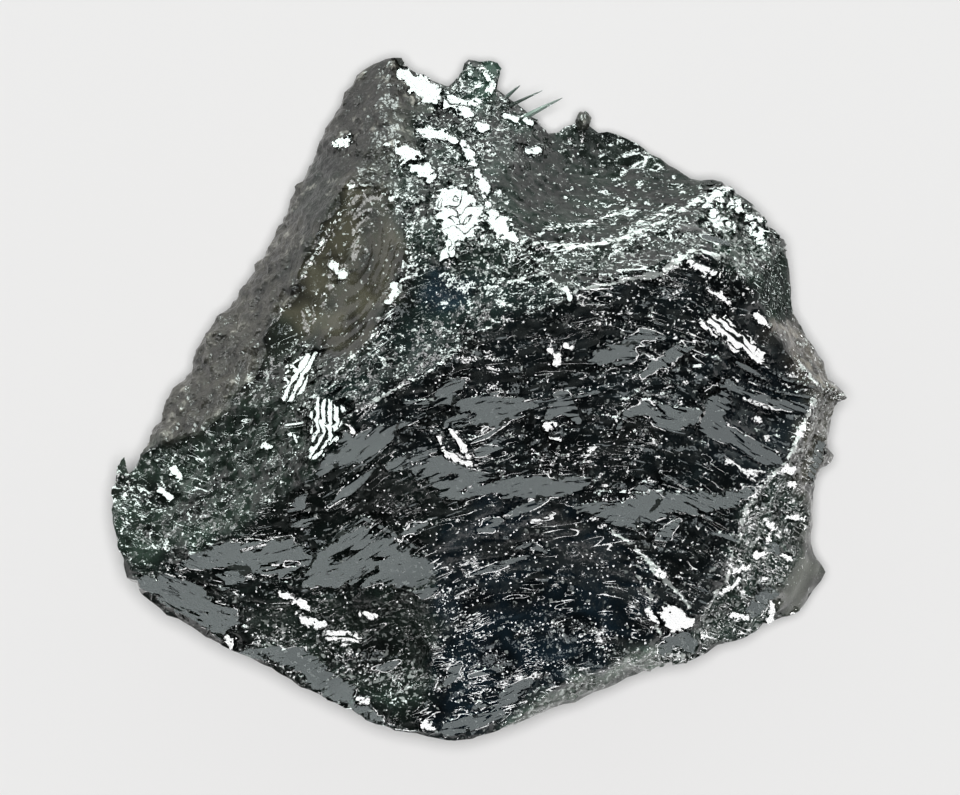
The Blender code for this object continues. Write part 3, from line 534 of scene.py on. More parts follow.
# %% Strokes: sheets in the middle
SHEETS += [
    # The upper row in the middle.
    [(-1.8, -0.2, 0.12), (-1.3, 0.2, 0.40), (-0.8, 0.6, 0.20)],
    [(-3.0, -0.2, 0.06), (-2.0, -0.2, 0.12)],
    [(-1.2, -1.0, 0.30), (-0.4, -0.7, 0.60), (0.6, -0.5, 0.60), (1.3, -0.4, 0.40), (2.3, -0.3, 0.06)],
    [(-0.5, -1.8, 0.05), (0.3, -1.5, 0.07), (1.1, -1.0, 0.05)],
    [(-0.4, -2.3, 0.04), (0.2, -2.1, 0.20), (0.9, -2.0, 0.05)],
    [(2.7, -0.7, 0.15), (3.3, -0.2, 0.40), (3.9, -0.9, 0.12)],
    [(3.7, 0.0, 0.05), (4.6, 0.2, 0.09), (5.3, 0.4, 0.05)],
    # The leaf at the foot of the slope, with its tail and a strip to its right.
    [(-7.0, -3.4, 0.05), (-6.4, -3.0, 0.15), (-5.9, -2.6, 0.30), (-5.0, -2.0, 0.70), (-4.0, -1.6, 0.50),
     (-3.3, -1.1, 0.15)],
    [(-4.2, -1.5, 0.15), (-2.2, -0.7, 0.10)],
    # The greatest sheet, across the middle.
    [(-3.6, -2.7, 0.15), (-2.6, -2.6, 0.45), (-1.6, -2.9, 0.75), (-0.7, -3.4, 0.75), (0.0, -3.4, 0.45),
     (0.8, -3.5, 0.42), (2.2, -3.6, 0.45), (3.4, -3.6, 0.40), (4.3, -3.3, 0.15)],
    [(-6.0, -4.3, 0.04), (-5.1, -3.6, 0.25), (-4.2, -2.8, 0.05)],
    [(-7.6, -4.5, 0.08), (-7.2, -4.2, 0.30), (-6.9, -3.9, 0.08)],
    [(-7.5, -5.1, 0.06), (-7.0, -5.0, 0.20), (-6.5, -4.8, 0.06)],
    [(-3.2, -5.5, 0.06), (-2.6, -5.2, 0.22), (-2.1, -5.0, 0.08)],
    [(-0.1, -5.3, 0.10), (0.4, -5.1, 0.28), (0.9, -4.8, 0.08)],
    [(0.9, -4.8, 0.06), (1.8, -4.4, 0.25), (2.7, -4.0, 0.08)],
    [(-0.5, -7.1, 0.04), (0.7, -6.7, 0.18), (2.0, -6.3, 0.04)],
    [(1.4, -6.0, 0.05), (2.1, -5.9, 0.14), (2.7, -6.2, 0.05)],
]
print(len(SHEETS), "sheets with those in the middle")

# %% Strokes: sheets at the right
SHEETS += [
    # The wing, right of the middle.
    [(4.3, 1.4, 0.10), (4.8, 1.6, 0.40), (5.6, 1.8, 0.45), (6.1, 2.0, 0.35)],
    [(5.7, 2.1, 0.15), (6.5, 2.5, 0.28), (7.3, 2.4, 0.12)],
    [(6.5, 0.9, 0.12), (7.2, 1.4, 0.30), (7.8, 1.8, 0.25), (8.5, 2.0, 0.05)],
    [(5.4, -1.4, 0.05), (5.8, -0.7, 0.12), (6.6, -0.4, 0.35), (7.5, -0.9, 0.50), (8.4, -0.8, 0.38),
     (9.1, -0.4, 0.12)],
    # The star at the foot of the shells, and the thin arcs over it.
    [(8.9, 0.1, 0.08), (9.4, 0.3, 0.30), (10.0, 0.5, 0.28), (10.6, 0.2, 0.25), (11.6, -0.2, 0.22),
     (13.0, -0.4, 0.16)],
    [(9.7, 0.4, 0.30), (9.4, -0.3, 0.50), (9.0, -1.1, 0.35), (10.2, -1.7, 0.35), (11.3, -2.3, 0.30),
     (12.1, -2.6, 0.18)],
    [(10.2, 1.4, 0.04), (10.7, 1.1, 0.10), (11.4, 0.7, 0.04)],
    [(10.9, 1.4, 0.04), (12.2, 0.7, 0.05), (13.3, 0.4, 0.04)],
    [(10.6, 0.7, 0.03), (12.0, 0.2, 0.05), (13.3, 0.0, 0.04)],
    # The long sheet at the right, from the greatest sheet to the band.
    [(3.8, -4.4, 0.12), (4.8, -4.5, 0.30), (6.0, -4.6, 0.60), (6.8, -4.2, 0.45), (7.2, -3.9, 0.15)],
    [(6.4, -4.8, 0.35), (7.6, -4.2, 0.40), (8.8, -4.2, 0.42), (9.9, -4.1, 0.30), (10.8, -3.7, 0.18)],
    [(7.0, -5.6, 0.06), (7.4, -5.4, 0.25), (7.9, -4.9, 0.10)],
    [(9.2, -5.4, 0.04), (10.2, -5.6, 0.15)],
    [(5.9, -3.8, 0.05), (6.5, -3.6, 0.20), (7.0, -3.4, 0.05)],
    # Plates in the band and at its foot.
    [(7.3, -10.0, 0.25), (8.0, -9.6, 0.42), (8.5, -9.9, 0.30)],
    [(11.2, -6.0, 0.28), (12.2, -6.0, 0.28)],
    [(10.8, -8.6, 0.25), (11.5, -7.9, 0.35)],
    [(13.6, -1.9, 0.20), (13.4, -3.0, 0.28)],
    [(8.9, 6.4, 0.08), (9.4, 6.3, 0.15), (9.9, 6.1, 0.06)],
]
print(len(SHEETS), "sheets in all")

# %% [markdown]
# Narrow strips of rough glass run into the sheets and through them. They are strokes too, and are taken
# away from the sheets.

# %% Strokes: gaps in the sheets
GAPS = [
    [(-11.6, -7.2, 0.12), (-10.8, -7.3, 0.32), (-10.3, -7.4, 0.15)],
    [(-9.5, -6.1, 0.06), (-8.4, -5.8, 0.04)],
    [(-9.4, -5.6, 0.07), (-8.1, -5.4, 0.05)],
    [(-8.7, -6.7, 0.04), (-7.2, -6.6, 0.08)],
    [(-7.7, -6.6, 0.18), (-7.3, -6.6, 0.12)],
    [(-5.8, -6.5, 0.05), (-5.3, -6.2, 0.14), (-4.8, -6.1, 0.04)],
    [(-4.2, -6.4, 0.11), (-3.8, -6.4, 0.05)],
    [(-4.7, -7.2, 0.05), (-4.1, -6.9, 0.10)],
    [(-3.6, -7.8, 0.15), (-3.0, -7.9, 0.25), (-2.6, -8.0, 0.12)],
    [(6.3, 1.9, 0.12), (7.0, 1.8, 0.26), (7.4, 2.0, 0.10)],
    [(4.7, -4.0, 0.08), (5.3, -4.0, 0.23), (6.0, -3.9, 0.08)],
    [(-3.0, -2.7, 0.03), (-2.3, -2.6, 0.05)],
    [(-1.6, -3.2, 0.04), (-0.9, -3.1, 0.03)],
    [(0.0, -3.5, 0.03), (0.8, -3.2, 0.05)],
    [(-0.7, -3.7, 0.04), (-0.3, -3.5, 0.03)],
    [(-1.2, -0.7, 0.03), (-0.4, -0.6, 0.04)],
    [(-1.2, -1.1, 0.05), (-0.6, -1.0, 0.03)],
    [(10.2, 0.1, 0.03), (11.6, -0.4, 0.05)],
    [(9.9, -0.6, 0.09), (10.3, -0.6, 0.14)],
    [(9.9, -1.1, 0.06), (10.3, -1.1, 0.12)],
    [(-8.7, -10.3, 0.03), (-8.0, -10.6, 0.04), (-7.1, -11.6, 0.03)],
    [(6.8, -0.2, 0.03), (7.4, -0.7, 0.05)],
]
print(len(GAPS), "gaps")

# %% [markdown]
# The white flats are the last chips to have come off. They are far smaller than the sheets, and lean
# back towards the far end of the studio, where the brightest light is.

# %% Strokes: white flats at the top, on the skin and on the flank
MIRRORS = [
    # Chips between the skin and the scoop.
    [(-3.3, 9.9, 0.34), (-2.8, 9.6, 0.45)],
    [(-2.6, 9.2, 0.30), (-2.0, 8.9, 0.28)],
    [(-0.7, 10.2, 0.12), (-0.3, 9.4, 0.20)],
    [(-0.1, 9.0, 0.15), (0.2, 8.2, 0.25)],
    [(0.4, 7.3, 0.36), (0.8, 6.8, 0.42), (1.4, 6.3, 0.10)],
    [(-2.5, 10.7, 0.14), (-1.8, 10.6, 0.26), (-1.0, 10.3, 0.16)],
    [(-0.2, 10.9, 0.18), (0.2, 10.8, 0.20)],
    [(-3.0, 13.0, 0.35), (-2.5, 12.6, 0.55), (-1.9, 12.2, 0.40)],
    [(-1.2, 11.8, 0.25), (-0.5, 11.4, 0.25)],
    [(-1.4, 12.2, 0.12), (-1.0, 11.9, 0.15), (-0.3, 11.8, 0.16), (0.3, 12.1, 0.13), (0.5, 12.6, 0.09),
     (0.2, 13.0, 0.05)],
    [(1.0, 11.3, 0.10), (2.1, 11.0, 0.12)],
    [(1.9, 9.9, 0.12), (2.3, 9.9, 0.14)],
    # On the skin and in the loop.
    [(-5.8, 10.2, 0.14), (-5.4, 10.2, 0.24)],
    [(-5.9, 5.3, 0.08), (-5.5, 4.9, 0.20)],
    [(-3.4, 4.4, 0.20), (-3.6, 3.8, 0.15)],
    # On the flank at the left.
    [(-12.2, -2.9, 0.24), (-12.0, -3.1, 0.20)],
    [(-12.6, -3.8, 0.24), (-12.4, -4.0, 0.20)],
    [(-8.6, -1.9, 0.10), (-8.4, -2.0, 0.12)],
    [(-7.6, -1.4, 0.09), (-7.3, -1.7, 0.12)],
    [(-5.3, -1.0, 0.10), (-5.0, -1.4, 0.12)],
]
print(len(MIRRORS), "white flats on the far side")

# %% Strokes: white flats in the big face and the hollow
MIRRORS += [
    # In the middle.
    [(-1.6, -1.6, 0.06), (-1.5, -2.1, 0.08), (-0.9, -2.5, 0.08), (-0.4, -2.7, 0.13)],
    [(-1.2, -1.3, 0.06), (-0.8, -1.7, 0.09), (-0.5, -2.3, 0.09)],
    [(2.6, -1.2, 0.10), (3.0, -1.1, 0.08)],
    [(2.8, -1.6, 0.10), (3.2, -1.7, 0.12)],
    [(2.8, 1.9, 0.18), (3.1, 1.4, 0.18)],
    [(3.4, 2.1, 0.12), (3.6, 2.0, 0.12)],
    [(3.4, 4.3, 0.16), (3.6, 4.0, 0.14)],
    # In the hollow at the lower left.
    [(-7.9, -7.8, 0.07), (-7.3, -8.1, 0.13), (-6.8, -8.4, 0.08)],
    [(-7.3, -8.6, 0.09), (-6.8, -9.0, 0.15), (-6.2, -9.0, 0.09)],
    [(-4.7, -8.6, 0.09), (-4.2, -8.7, 0.10)],
    [(-10.1, -9.6, 0.14), (-9.9, -9.9, 0.14)],
    [(-4.9, -12.0, 0.12), (-4.5, -12.1, 0.12)],
    [(-2.2, -13.0, 0.14), (-1.9, -13.2, 0.14)],
]
print(len(MIRRORS), "white flats with those in the big face")

# %% Strokes: white flats at the right
MIRRORS += [
    # In the shells, the corner and the band.
    [(8.8, 3.0, 0.06), (9.4, 2.5, 0.07)],
    [(10.2, 7.2, 0.12), (10.8, 7.15, 0.13), (11.4, 7.1, 0.12)],
    [(10.5, 7.6, 0.12), (10.8, 7.9, 0.14)],
    [(9.0, 4.3, 0.12), (9.5, 4.1, 0.16), (9.9, 3.7, 0.12)],
    [(8.3, 5.3, 0.10), (8.9, 5.1, 0.16), (9.5, 4.9, 0.10)],
    [(11.1, 3.2, 0.20), (11.5, 2.8, 0.14)],
    [(12.2, -2.8, 0.20), (12.4, -2.9, 0.20)],
    [(12.4, -3.5, 0.14), (12.5, -3.5, 0.14)],
    [(12.1, -4.6, 0.12), (13.0, -4.9, 0.12)],
    [(11.5, -5.5, 0.14), (11.5, -5.6, 0.14)],
    [(10.1, -6.9, 0.09), (10.7, -6.8, 0.14)],
    [(10.0, -8.7, 0.12), (10.6, -8.8, 0.16)],
    [(12.0, -4.7, 0.10), (12.6, -4.8, 0.14), (13.1, -4.9, 0.10)],
    [(12.2, -6.4, 0.12), (12.4, -6.5, 0.12)],
    [(11.0, -6.3, 0.12), (11.3, -6.2, 0.10)],
    [(11.4, -4.9, 0.12), (11.7, -5.2, 0.12)],
    [(11.1, -7.4, 0.10), (11.5, -7.2, 0.12)],
    [(11.6, -9.0, 0.10), (11.7, -8.2, 0.10)],
    [(9.7, -7.7, 0.10), (10.3, -7.3, 0.10)],
    [(8.9, -9.5, 0.14), (9.0, -9.5, 0.14)],
    [(12.4, -9.0, 0.09), (12.6, -8.6, 0.12)],
    # The big one beside the foot of the band.
    [(7.4, -8.6, 0.30), (7.8, -8.8, 0.52), (8.2, -9.0, 0.30)],
    [(6.7, -8.5, 0.07), (7.1, -9.0, 0.14)],
    [(7.1, -7.0, 0.18), (7.3, -7.1, 0.14)],
]
NARROWEST = 0.12  # mm, the half-width below which a white flat would slip between the mesh's points
MIRRORS = [[(x, y, max(half, NARROWEST)) for x, y, half in stroke] for stroke in MIRRORS]
print(len(MIRRORS), "white flats in all")

# %% [markdown]
# Some white flats aren't whole: a net of cracks crosses them, or they broke in parallel stripes.

# %% Strokes: white flats with cracks or stripes across
CRACKLED = [
    [(-1.1, 7.8, 0.70), (-0.7, 7.1, 0.80), (-0.8, 6.4, 0.45), (-1.5, 5.6, 0.15)],
    [(9.9, 8.4, 0.20), (9.5, 8.0, 0.38), (9.3, 7.6, 0.36)],
    [(9.4, 7.1, 0.40), (9.9, 6.9, 0.36)],
    [(10.1, 8.0, 0.12), (10.3, 7.7, 0.26), (10.0, 7.5, 0.24)],
    [(10.9, 6.8, 0.20), (11.2, 6.5, 0.36), (11.3, 6.2, 0.28)],
    [(11.1, 8.0, 0.18), (11.5, 7.6, 0.28)],
    [(11.9, 7.1, 0.30), (12.2, 6.6, 0.28)],
]
STRIPED = [
    [(9.3, 3.1, 0.22), (10.2, 2.3, 0.42), (11.2, 1.6, 0.25)],
    [(-7.6, 0.1, 0.30), (-7.2, 0.9, 0.52), (-6.8, 1.6, 0.35)],
    [(-6.1, -0.6, 0.70), (-6.1, -1.4, 0.55), (-6.6, -2.3, 0.22)],
    [(-6.1, -9.5, 0.18), (-5.5, -9.5, 0.28), (-4.9, -9.6, 0.18)],
]
print(len(CRACKLED), "crackled flats and", len(STRIPED), "striped ones")

# %% [markdown]
# Where a ridge or the lip of a crack was knocked, the glass is crushed along a thin line and shows pale.

# %% Strokes: bruised crests at the top and the right, and cracks in the big face
BRUISED = [
    # The ledge under the scoop, and the double line along the scoop's foot.
    [(3.2, 4.1, 0.12), (5.0, 4.5, 0.13), (7.1, 4.9, 0.18), (8.5, 5.9, 0.13)],
    [(8.5, 5.9, 0.12), (9.5, 5.6, 0.12), (10.4, 4.9, 0.08)],
    [(1.5, 6.2, 0.12), (3.2, 6.0, 0.12), (4.4, 6.0, 0.12), (5.9, 6.4, 0.11), (7.2, 6.9, 0.11),
     (8.3, 7.6, 0.11), (9.1, 8.1, 0.09)],
    [(5.8, 6.7, 0.08), (7.0, 7.2, 0.09), (7.9, 7.7, 0.07)],
    [(2.6, 6.7, 0.08), (4.0, 6.8, 0.08), (6.2, 7.6, 0.07)],
    [(1.2, 4.6, 0.09), (2.6, 4.9, 0.10), (3.3, 4.2, 0.12)],
    # The band's inner edge.
    [(13.3, -0.1, 0.12), (12.7, -1.5, 0.13), (12.2, -2.6, 0.13), (11.2, -3.5, 0.12), (10.6, -4.5, 0.13),
     (10.3, -5.7, 0.12), (10.1, -6.3, 0.13), (9.9, -7.1, 0.12), (9.4, -7.9, 0.10), (8.8, -8.8, 0.10)],
    [(12.7, 1.4, 0.08), (13.4, 0.6, 0.10), (14.6, -0.3, 0.06)],
    # The crumbled ridge down to the big white flat.
    [(5.2, -5.3, 0.07), (6.0, -5.8, 0.10), (6.6, -6.4, 0.14), (7.0, -6.9, 0.20), (7.6, -7.5, 0.12),
     (8.4, -8.4, 0.07)],
    [(6.2, -7.0, 0.05), (6.8, -7.8, 0.10), (6.7, -8.6, 0.12), (7.2, -9.4, 0.08)],
    [(7.0, -10.3, 0.06), (8.8, -10.5, 0.06)],
    # Thin cracks in the big face.
    [(4.1, -2.6, 0.05), (4.4, -2.1, 0.05), (5.2, -1.3, 0.05), (5.8, -0.1, 0.05), (6.6, 0.5, 0.04)],
    [(5.2, 4.0, 0.04), (5.0, 2.9, 0.04)],
    [(6.1, 3.9, 0.05), (5.6, 2.6, 0.05)],
    [(6.9, 3.4, 0.03), (6.5, 2.7, 0.04)],
    [(8.5, 3.0, 0.04), (8.5, 2.3, 0.04), (8.9, 1.9, 0.03)],
    [(5.0, -8.1, 0.03), (4.8, -9.7, 0.04), (5.0, -10.4, 0.03)],
    [(-1.3, -7.8, 0.03), (0.2, -7.7, 0.04)],
    [(-1.3, -8.0, 0.03), (-0.2, -7.9, 0.03)],
    [(1.4, -9.5, 0.04), (2.2, -9.1, 0.06)],
    [(2.8, -9.0, 0.04), (3.6, -8.8, 0.05)],
    [(-0.2, -11.8, 0.04), (1.2, -11.2, 0.05), (2.6, -11.0, 0.04)],
    [(0.8, -12.6, 0.05), (2.2, -11.7, 0.05), (3.4, -11.3, 0.05), (5.0, -10.8, 0.05), (7.0, -10.2, 0.05)],
]
print(len(BRUISED), "bruised crests and cracks")

# %% Strokes: bruised crests round the loop, at the left and in the block
BRUISED += [
    # The fold between slope and loop, and the loop's far side.
    [(-7.2, -0.5, 0.06), (-5.4, 1.3, 0.07), (-3.8, 2.9, 0.07), (-2.7, 5.4, 0.07), (-2.9, 6.6, 0.06)],
    [(-6.9, -0.4, 0.04), (-5.2, 1.0, 0.05), (-3.6, 2.5, 0.04)],
    [(-8.0, 3.4, 0.04), (-7.2, 4.6, 0.05), (-6.3, 6.2, 0.05), (-5.4, 7.6, 0.05)],
    [(-5.6, 8.4, 0.07), (-4.4, 8.5, 0.09), (-3.6, 8.2, 0.08)],
    # The slope's lower edge, above the big face.
    [(-5.4, -0.9, 0.06), (-3.8, 0.1, 0.07), (-1.9, 1.1, 0.07), (-0.1, 2.6, 0.07), (1.6, 3.2, 0.08),
     (3.3, 3.9, 0.08)],
    # Lower left.
    [(-8.7, -10.4, 0.03), (-7.9, -10.7, 0.04), (-7.1, -11.5, 0.03)],
    [(-3.5, -11.2, 0.05), (-3.2, -11.8, 0.06)],
    # The swirl in the block at the top.
    [(-0.8, 12.9, 0.06), (-0.7, 12.4, 0.08), (-0.3, 12.3, 0.09), (0.0, 12.6, 0.06), (-0.2, 12.8, 0.05)],
    [(-1.2, 12.9, 0.06), (-0.6, 13.2, 0.07), (0.1, 13.2, 0.07), (0.6, 12.9, 0.05)],
    # Two at the left end.
    [(-9.6, -7.9, 0.03), (-9.7, -9.2, 0.05)],
    [(-14.1, -3.2, 0.05), (-14.2, -4.4, 0.05), (-13.9, -5.6, 0.04)],
]
print(len(BRUISED), "bruised crests and cracks in all")

# %% [markdown]
# A stroke is read as a depth: how far inside its edge a point lies, negative outside. Depths are worked
# out from plan positions, so they can be asked for again wherever the mesh is divided further.
#
# The raggedness is noise stretched along the grain, the way the crack ran. That way turns across the
# face, so it is kept as a slope for a few places along x, and followed by adding the slopes up.


# %% Noise, and the way the grain runs
def swell(points, size, seed):
    """Smooth noise, about -0.7 to 0.7, whose lumps are size (x, y, z) across."""
    shift = Vector((seed * 7.31, seed * 3.17, seed * 5.71))
    return np.array([noise.noise(Vector(p) + shift) for p in points / np.array(size)])


# How steeply the grain climbs at a few places along x.
GRAIN_SLOPE = {-15: -0.6, -12: -0.5, -9: 0.0, -5: 0.65, -1: 0.25, 3: 0.2, 6: -0.1, 9: -0.5, 15: -0.5}
GRAIN_X = np.linspace(-16.0, 16.0, 321)
slopes = np.interp(GRAIN_X, list(GRAIN_SLOPE), list(GRAIN_SLOPE.values()))
GRAIN_Y = np.cumsum(slopes) * (GRAIN_X[1] - GRAIN_X[0])
GRAIN_WANDER = 0.4  # times the noise: the grain is bent aside by 0.3 mm at most


def grain(x, y):
    """Places along and across the grain, the curved way the cracks ran through the big face."""
    flat = np.zeros(len(x))
    across = y - np.interp(x, GRAIN_X, GRAIN_Y)
    across = across + GRAIN_WANDER * swell(np.stack([x, y, flat], axis=1), (2.6, 2.6, 1.0), 11)
    return np.stack([x, across, flat], axis=1)


def feathers(x, y):
    """Noise in long slivers that run with the grain."""
    sliver = grain(x, y)
    return swell(sliver, (1.0, 0.22, 1.0), 12) + 0.5 * swell(sliver, (0.45, 0.11, 1.0), 13)


print("the grain climbs", round(float(GRAIN_Y.max() - GRAIN_Y.min()), 1), "mm at most")

# %% [markdown]
# A stroke is a chain of tapering bars with round ends. A point's depth in it is its depth in the bar that
# it is deepest in. Measuring every point against every stroke would be slow, so only the ones near a
# stroke are measured.

# %% The depth in one stroke
FAR = -9.0  # mm, the depth of a point that no stroke is near
NEAR_REACH = 0.8  # mm, how far outside a stroke its depth is still worked out


def stroke_depth(stroke, x, y):
    """How deep in a stroke each point is, how wide the stroke is there, and how far off its middle."""
    depth, width, offset = np.full(len(x), FAR), np.zeros(len(x)), np.zeros(len(x))
    for (x0, y0, w0), (x1, y1, w1) in zip(stroke, stroke[1:]):
        dx, dy = x1 - x0, y1 - y0
        along = np.clip(((x - x0) * dx + (y - y0) * dy) / (dx * dx + dy * dy), 0.0, 1.0)
        half = w0 + along * (w1 - w0)
        inner = half - np.hypot(x - x0 - along * dx, y - y0 - along * dy)
        deeper = inner > depth
        depth = np.where(deeper, inner, depth)
        width = np.where(deeper, half, width)
        offset = np.where(deeper, ((y - y0) * dx - (x - x0) * dy) / math.hypot(dx, dy), offset)
    return depth, width, offset


def near_stroke(stroke, x, y):
    """Which points are near enough to a stroke to be worth measuring."""
    xs, ys, widths = zip(*stroke)
    margin = max(widths) + NEAR_REACH
    return np.flatnonzero((x > min(xs) - margin) & (x < max(xs) + margin)
                          & (y > min(ys) - margin) & (y < max(ys) + margin))


print(len(near_stroke(SHEETS[0], data[:, 0], data[:, 1])), "points are near the first sheet")

# %% [markdown]
# All the strokes together give each point one flat to belong to. A sheet's depth is cut down by the
# gaps, and by a narrow moat round each white flat, so that every outline is a place where the depth
# passes nought.

# %% The depth in all the strokes
FLATS = ([("sheet", stroke) for stroke in SHEETS] + [("mirror", stroke) for stroke in MIRRORS]
         + [("crackled", stroke) for stroke in CRACKLED] + [("striped", stroke) for stroke in STRIPED])
RAGGED = 0.55  # how far noise moves a sheet's edge, as a share of its half-width
RAGGED_GAP = 0.4
RAGGED_BRUISE = 0.6
MOAT = 0.05  # mm, between a white flat and the sheet that it stands in
UNDERSIDE = 0.3  # a point with more of the underside in it than this has no flats


def read_strokes(points):
    """For each point the depth in its flat, which flat that is, how far off its middle, and the depth in
    the bruised crests."""
    x, y = points[:, 0], points[:, 1]
    ragged = feathers(x, y)
    chipped = swell(points, (0.42, 0.42, 0.42), 14) + 0.6 * swell(points, (0.2, 0.2, 0.2), 15)
    depth, owner, offset = np.full(len(x), FAR), np.full(len(x), -1), np.zeros(len(x))
    for number, (kind, stroke) in enumerate(FLATS):
        if kind != "sheet":
            continue
        near = near_stroke(stroke, x, y)
        inner, width, _ = stroke_depth(stroke, x[near], y[near])
        inner = inner + RAGGED * np.minimum(width, 0.6) * ragged[near]
        deeper = inner > depth[near]
        depth[near] = np.where(deeper, inner, depth[near])
        owner[near] = np.where(deeper, number, owner[near])
    for stroke in GAPS:
        near = near_stroke(stroke, x, y)
        inner, width, _ = stroke_depth(stroke, x[near], y[near])
        depth[near] = np.minimum(depth[near], -inner - RAGGED_GAP * width * ragged[near])
    for number, (kind, stroke) in enumerate(FLATS):
        if kind == "sheet":
            continue
        near = near_stroke(stroke, x, y)
        inner, width, side = stroke_depth(stroke, x[near], y[near])
        inner = inner + np.minimum(width, 0.5) * (0.65 * chipped[near] + 0.55 * ragged[near])
        taken = (inner > 0.0) | (inner > depth[near])
        depth[near] = np.where(taken, inner, np.minimum(depth[near], -inner - MOAT))
        owner[near] = np.where(taken, number, owner[near])
        offset[near] = np.where(taken, side, offset[near])
    bruise = np.full(len(x), FAR)
    for stroke in BRUISED:
        near = near_stroke(stroke, x, y)
        inner, width, _ = stroke_depth(stroke, x[near], y[near])
        bruise[near] = np.maximum(bruise[near], inner + RAGGED_BRUISE * width * ragged[near])
    return depth, owner, offset, bruise


def read_upper(data):
    """Strokes read on the points that face up; the underside has none."""
    depth, owner, offset, bruise = read_strokes(data[:, :3])
    under = data[:, BELOW] > UNDERSIDE
    return (np.where(under, FAR, depth), np.where(under, -1, owner), offset, np.where(under, FAR, bruise))


print(len(FLATS), "flats in all")

# %% [markdown]
# An outline can be no finer than the edges that it crosses. So the edges near every outline are halved
# where they are long, and those near the white flats and the bruised crests, which are small, once more.

# %% Divide near the outlines
LONGEST_NEAR = 0.17  # mm, the longest edge near a sheet's outline
LONGEST_NEAR_FINE = 0.11  # mm, the longest edge near a mirror's outline or a bruised crest
OUTLINE_REACH = 0.12  # mm, how near is near

is_sheet = np.array([kind == "sheet" for kind, _ in FLATS] + [True])
for fine in (False, True):
    depth, owner, offset, bruise = read_upper(data)
    edges, _ = sides_of(triangles)
    length = np.linalg.norm(data[edges[:, 0], :3] - data[edges[:, 1], :3], axis=1)
    close = np.minimum(np.where(is_sheet[owner] & fine, -FAR, np.abs(depth)), np.abs(bruise))
    near_outline = close[edges].min(axis=1) < np.minimum(OUTLINE_REACH, length)
    cut = near_outline & (length > (LONGEST_NEAR_FINE if fine else LONGEST_NEAR))
    data, triangles = divided(data, triangles, np.where(cut, 0.5, np.nan))
print(len(triangles), "triangles after dividing near the outlines")

# %% [markdown]
# Now the edges are cut exactly where the depth passes nought, the lip. A cut very near an edge's end
# would leave a needle of a triangle, so those are left out.

# %% Cut the edges at the lips
CUT_FROM, CUT_TO = 0.10, 0.90  # shares of an edge between which it may be cut
DEEPEST_CUT = -1.0  # mm, beyond which a change of sign is two flats' borders and no lip

depth, owner, offset, bruise = read_upper(data)
edges, _ = sides_of(triangles)
a, b = depth[edges[:, 0]], depth[edges[:, 1]]
share = a / np.where(np.abs(a - b) < 1e-9, 1.0, a - b)
crossing = (a * b < 0) & (share > CUT_FROM) & (share < CUT_TO) & (depth[edges].min(axis=1) > DEEPEST_CUT)
data, triangles = divided(data, triangles, np.where(crossing, share, np.nan))
depth, owner, offset, bruise = read_upper(data)
print(int(crossing.sum()), "edges cut at the lips make", len(triangles), "triangles")

# %% [markdown]
# Only then are the flats laid down. Each is a plane through the middle of its own points. The sheets
# all lie one way, with the little lean that their place on the stone asks for, and the white flats face
# a light. Outside its lip the surface drops away and runs back to where it was.

# %% Lay the flats
SHEET_NORMAL = unit(np.array([0.05, -0.10, 1.0]))
WHITE_NORMAL = unit(np.array([0.0, 0.53, 0.85]))
SIDE_NORMAL = unit(np.array([0.33, -0.05, 0.94]))  # for the white flats that the ridge would shade
SHEETED_FACE = 0.4  # a flat with more of the sheeted look than this is in the big face
RIGHT_END = 9.0  # mm, how far x must pass y to be past the ridge's right end
FOOT = 0.06  # mm from the lip to the foot of the drop
DROP = 0.13  # mm, how deep the drop is
DROP_ELSEWHERE = 0.35  # the share of it round a flat outside the big face
BLEND = 0.45  # mm from the lip to where the surface is as it was
LIP = 0.012  # mm, a point this little outside still lies on the flat
MOST_LEAN = 0.07  # how far a flat's slope may follow the stone's own
MOST_SHIFT = 0.80  # mm, how far a point may move up or down
FEWEST_POINTS = 3  # the fewest that a flat is laid for
ENOUGH_FOR_SLOPE = 12  # with more points than this, the stone's own slope can be measured


def shaded_by_ridge(x, y, sheeted):
    """Where the ridge keeps the far light off: over the big face and at the stone's right end."""
    return (sheeted > SHEETED_FACE) | (x - y > RIGHT_END)


on_flat = (depth > -LIP) & (owner >= 0)
resting = data[:, 2] < RESTING
rise = np.zeros(len(data))
run_back = np.clip(1.0 + depth / BLEND, 0.0, 1.0) ** 2
step_down = np.clip(-depth / FOOT, 0.0, 1.0)
for number, (kind, stroke) in enumerate(FLATS):
    mine = owner == number
    core = mine & on_flat
    if core.sum() < FEWEST_POINTS:
        continue
    middle = data[core, :3].mean(axis=0)
    shaded = shaded_by_ridge(middle[0], middle[1], data[core, COLUMN["sheeted"]].mean())
    normal = SHEET_NORMAL if kind == "sheet" else SIDE_NORMAL if shaded else WHITE_NORMAL
    away = data[core, :2] - middle[:2]
    slope = -normal[:2] / normal[2]
    if core.sum() > ENOUGH_FOR_SLOPE:
        own_slope = np.linalg.lstsq(away, data[core, 2] - middle[2], rcond=None)[0]
        lean = own_slope - slope
        slope = slope + lean * min(1.0, MOST_LEAN / max(float(np.hypot(*lean)), 1e-9))
    plane = middle[2] + (data[mine, :2] - middle[:2]) @ slope
    shift = np.clip(plane - data[mine, 2], -MOST_SHIFT, MOST_SHIFT)
    sheeted = data[mine, COLUMN["sheeted"]]
    here_down = sheeted + DROP_ELSEWHERE * (1.0 - sheeted) * run_back[mine]
    lowered = -DROP * step_down[mine] * here_down
    rise[mine] = np.where(on_flat[mine], shift, run_back[mine] * shift + lowered)
rise -= np.where(owner < 0, DROP * data[:, COLUMN["sheeted"]], 0.0)
data[:, 2] += rise * ~resting
print(int(on_flat.sum()), "points lie on flats")

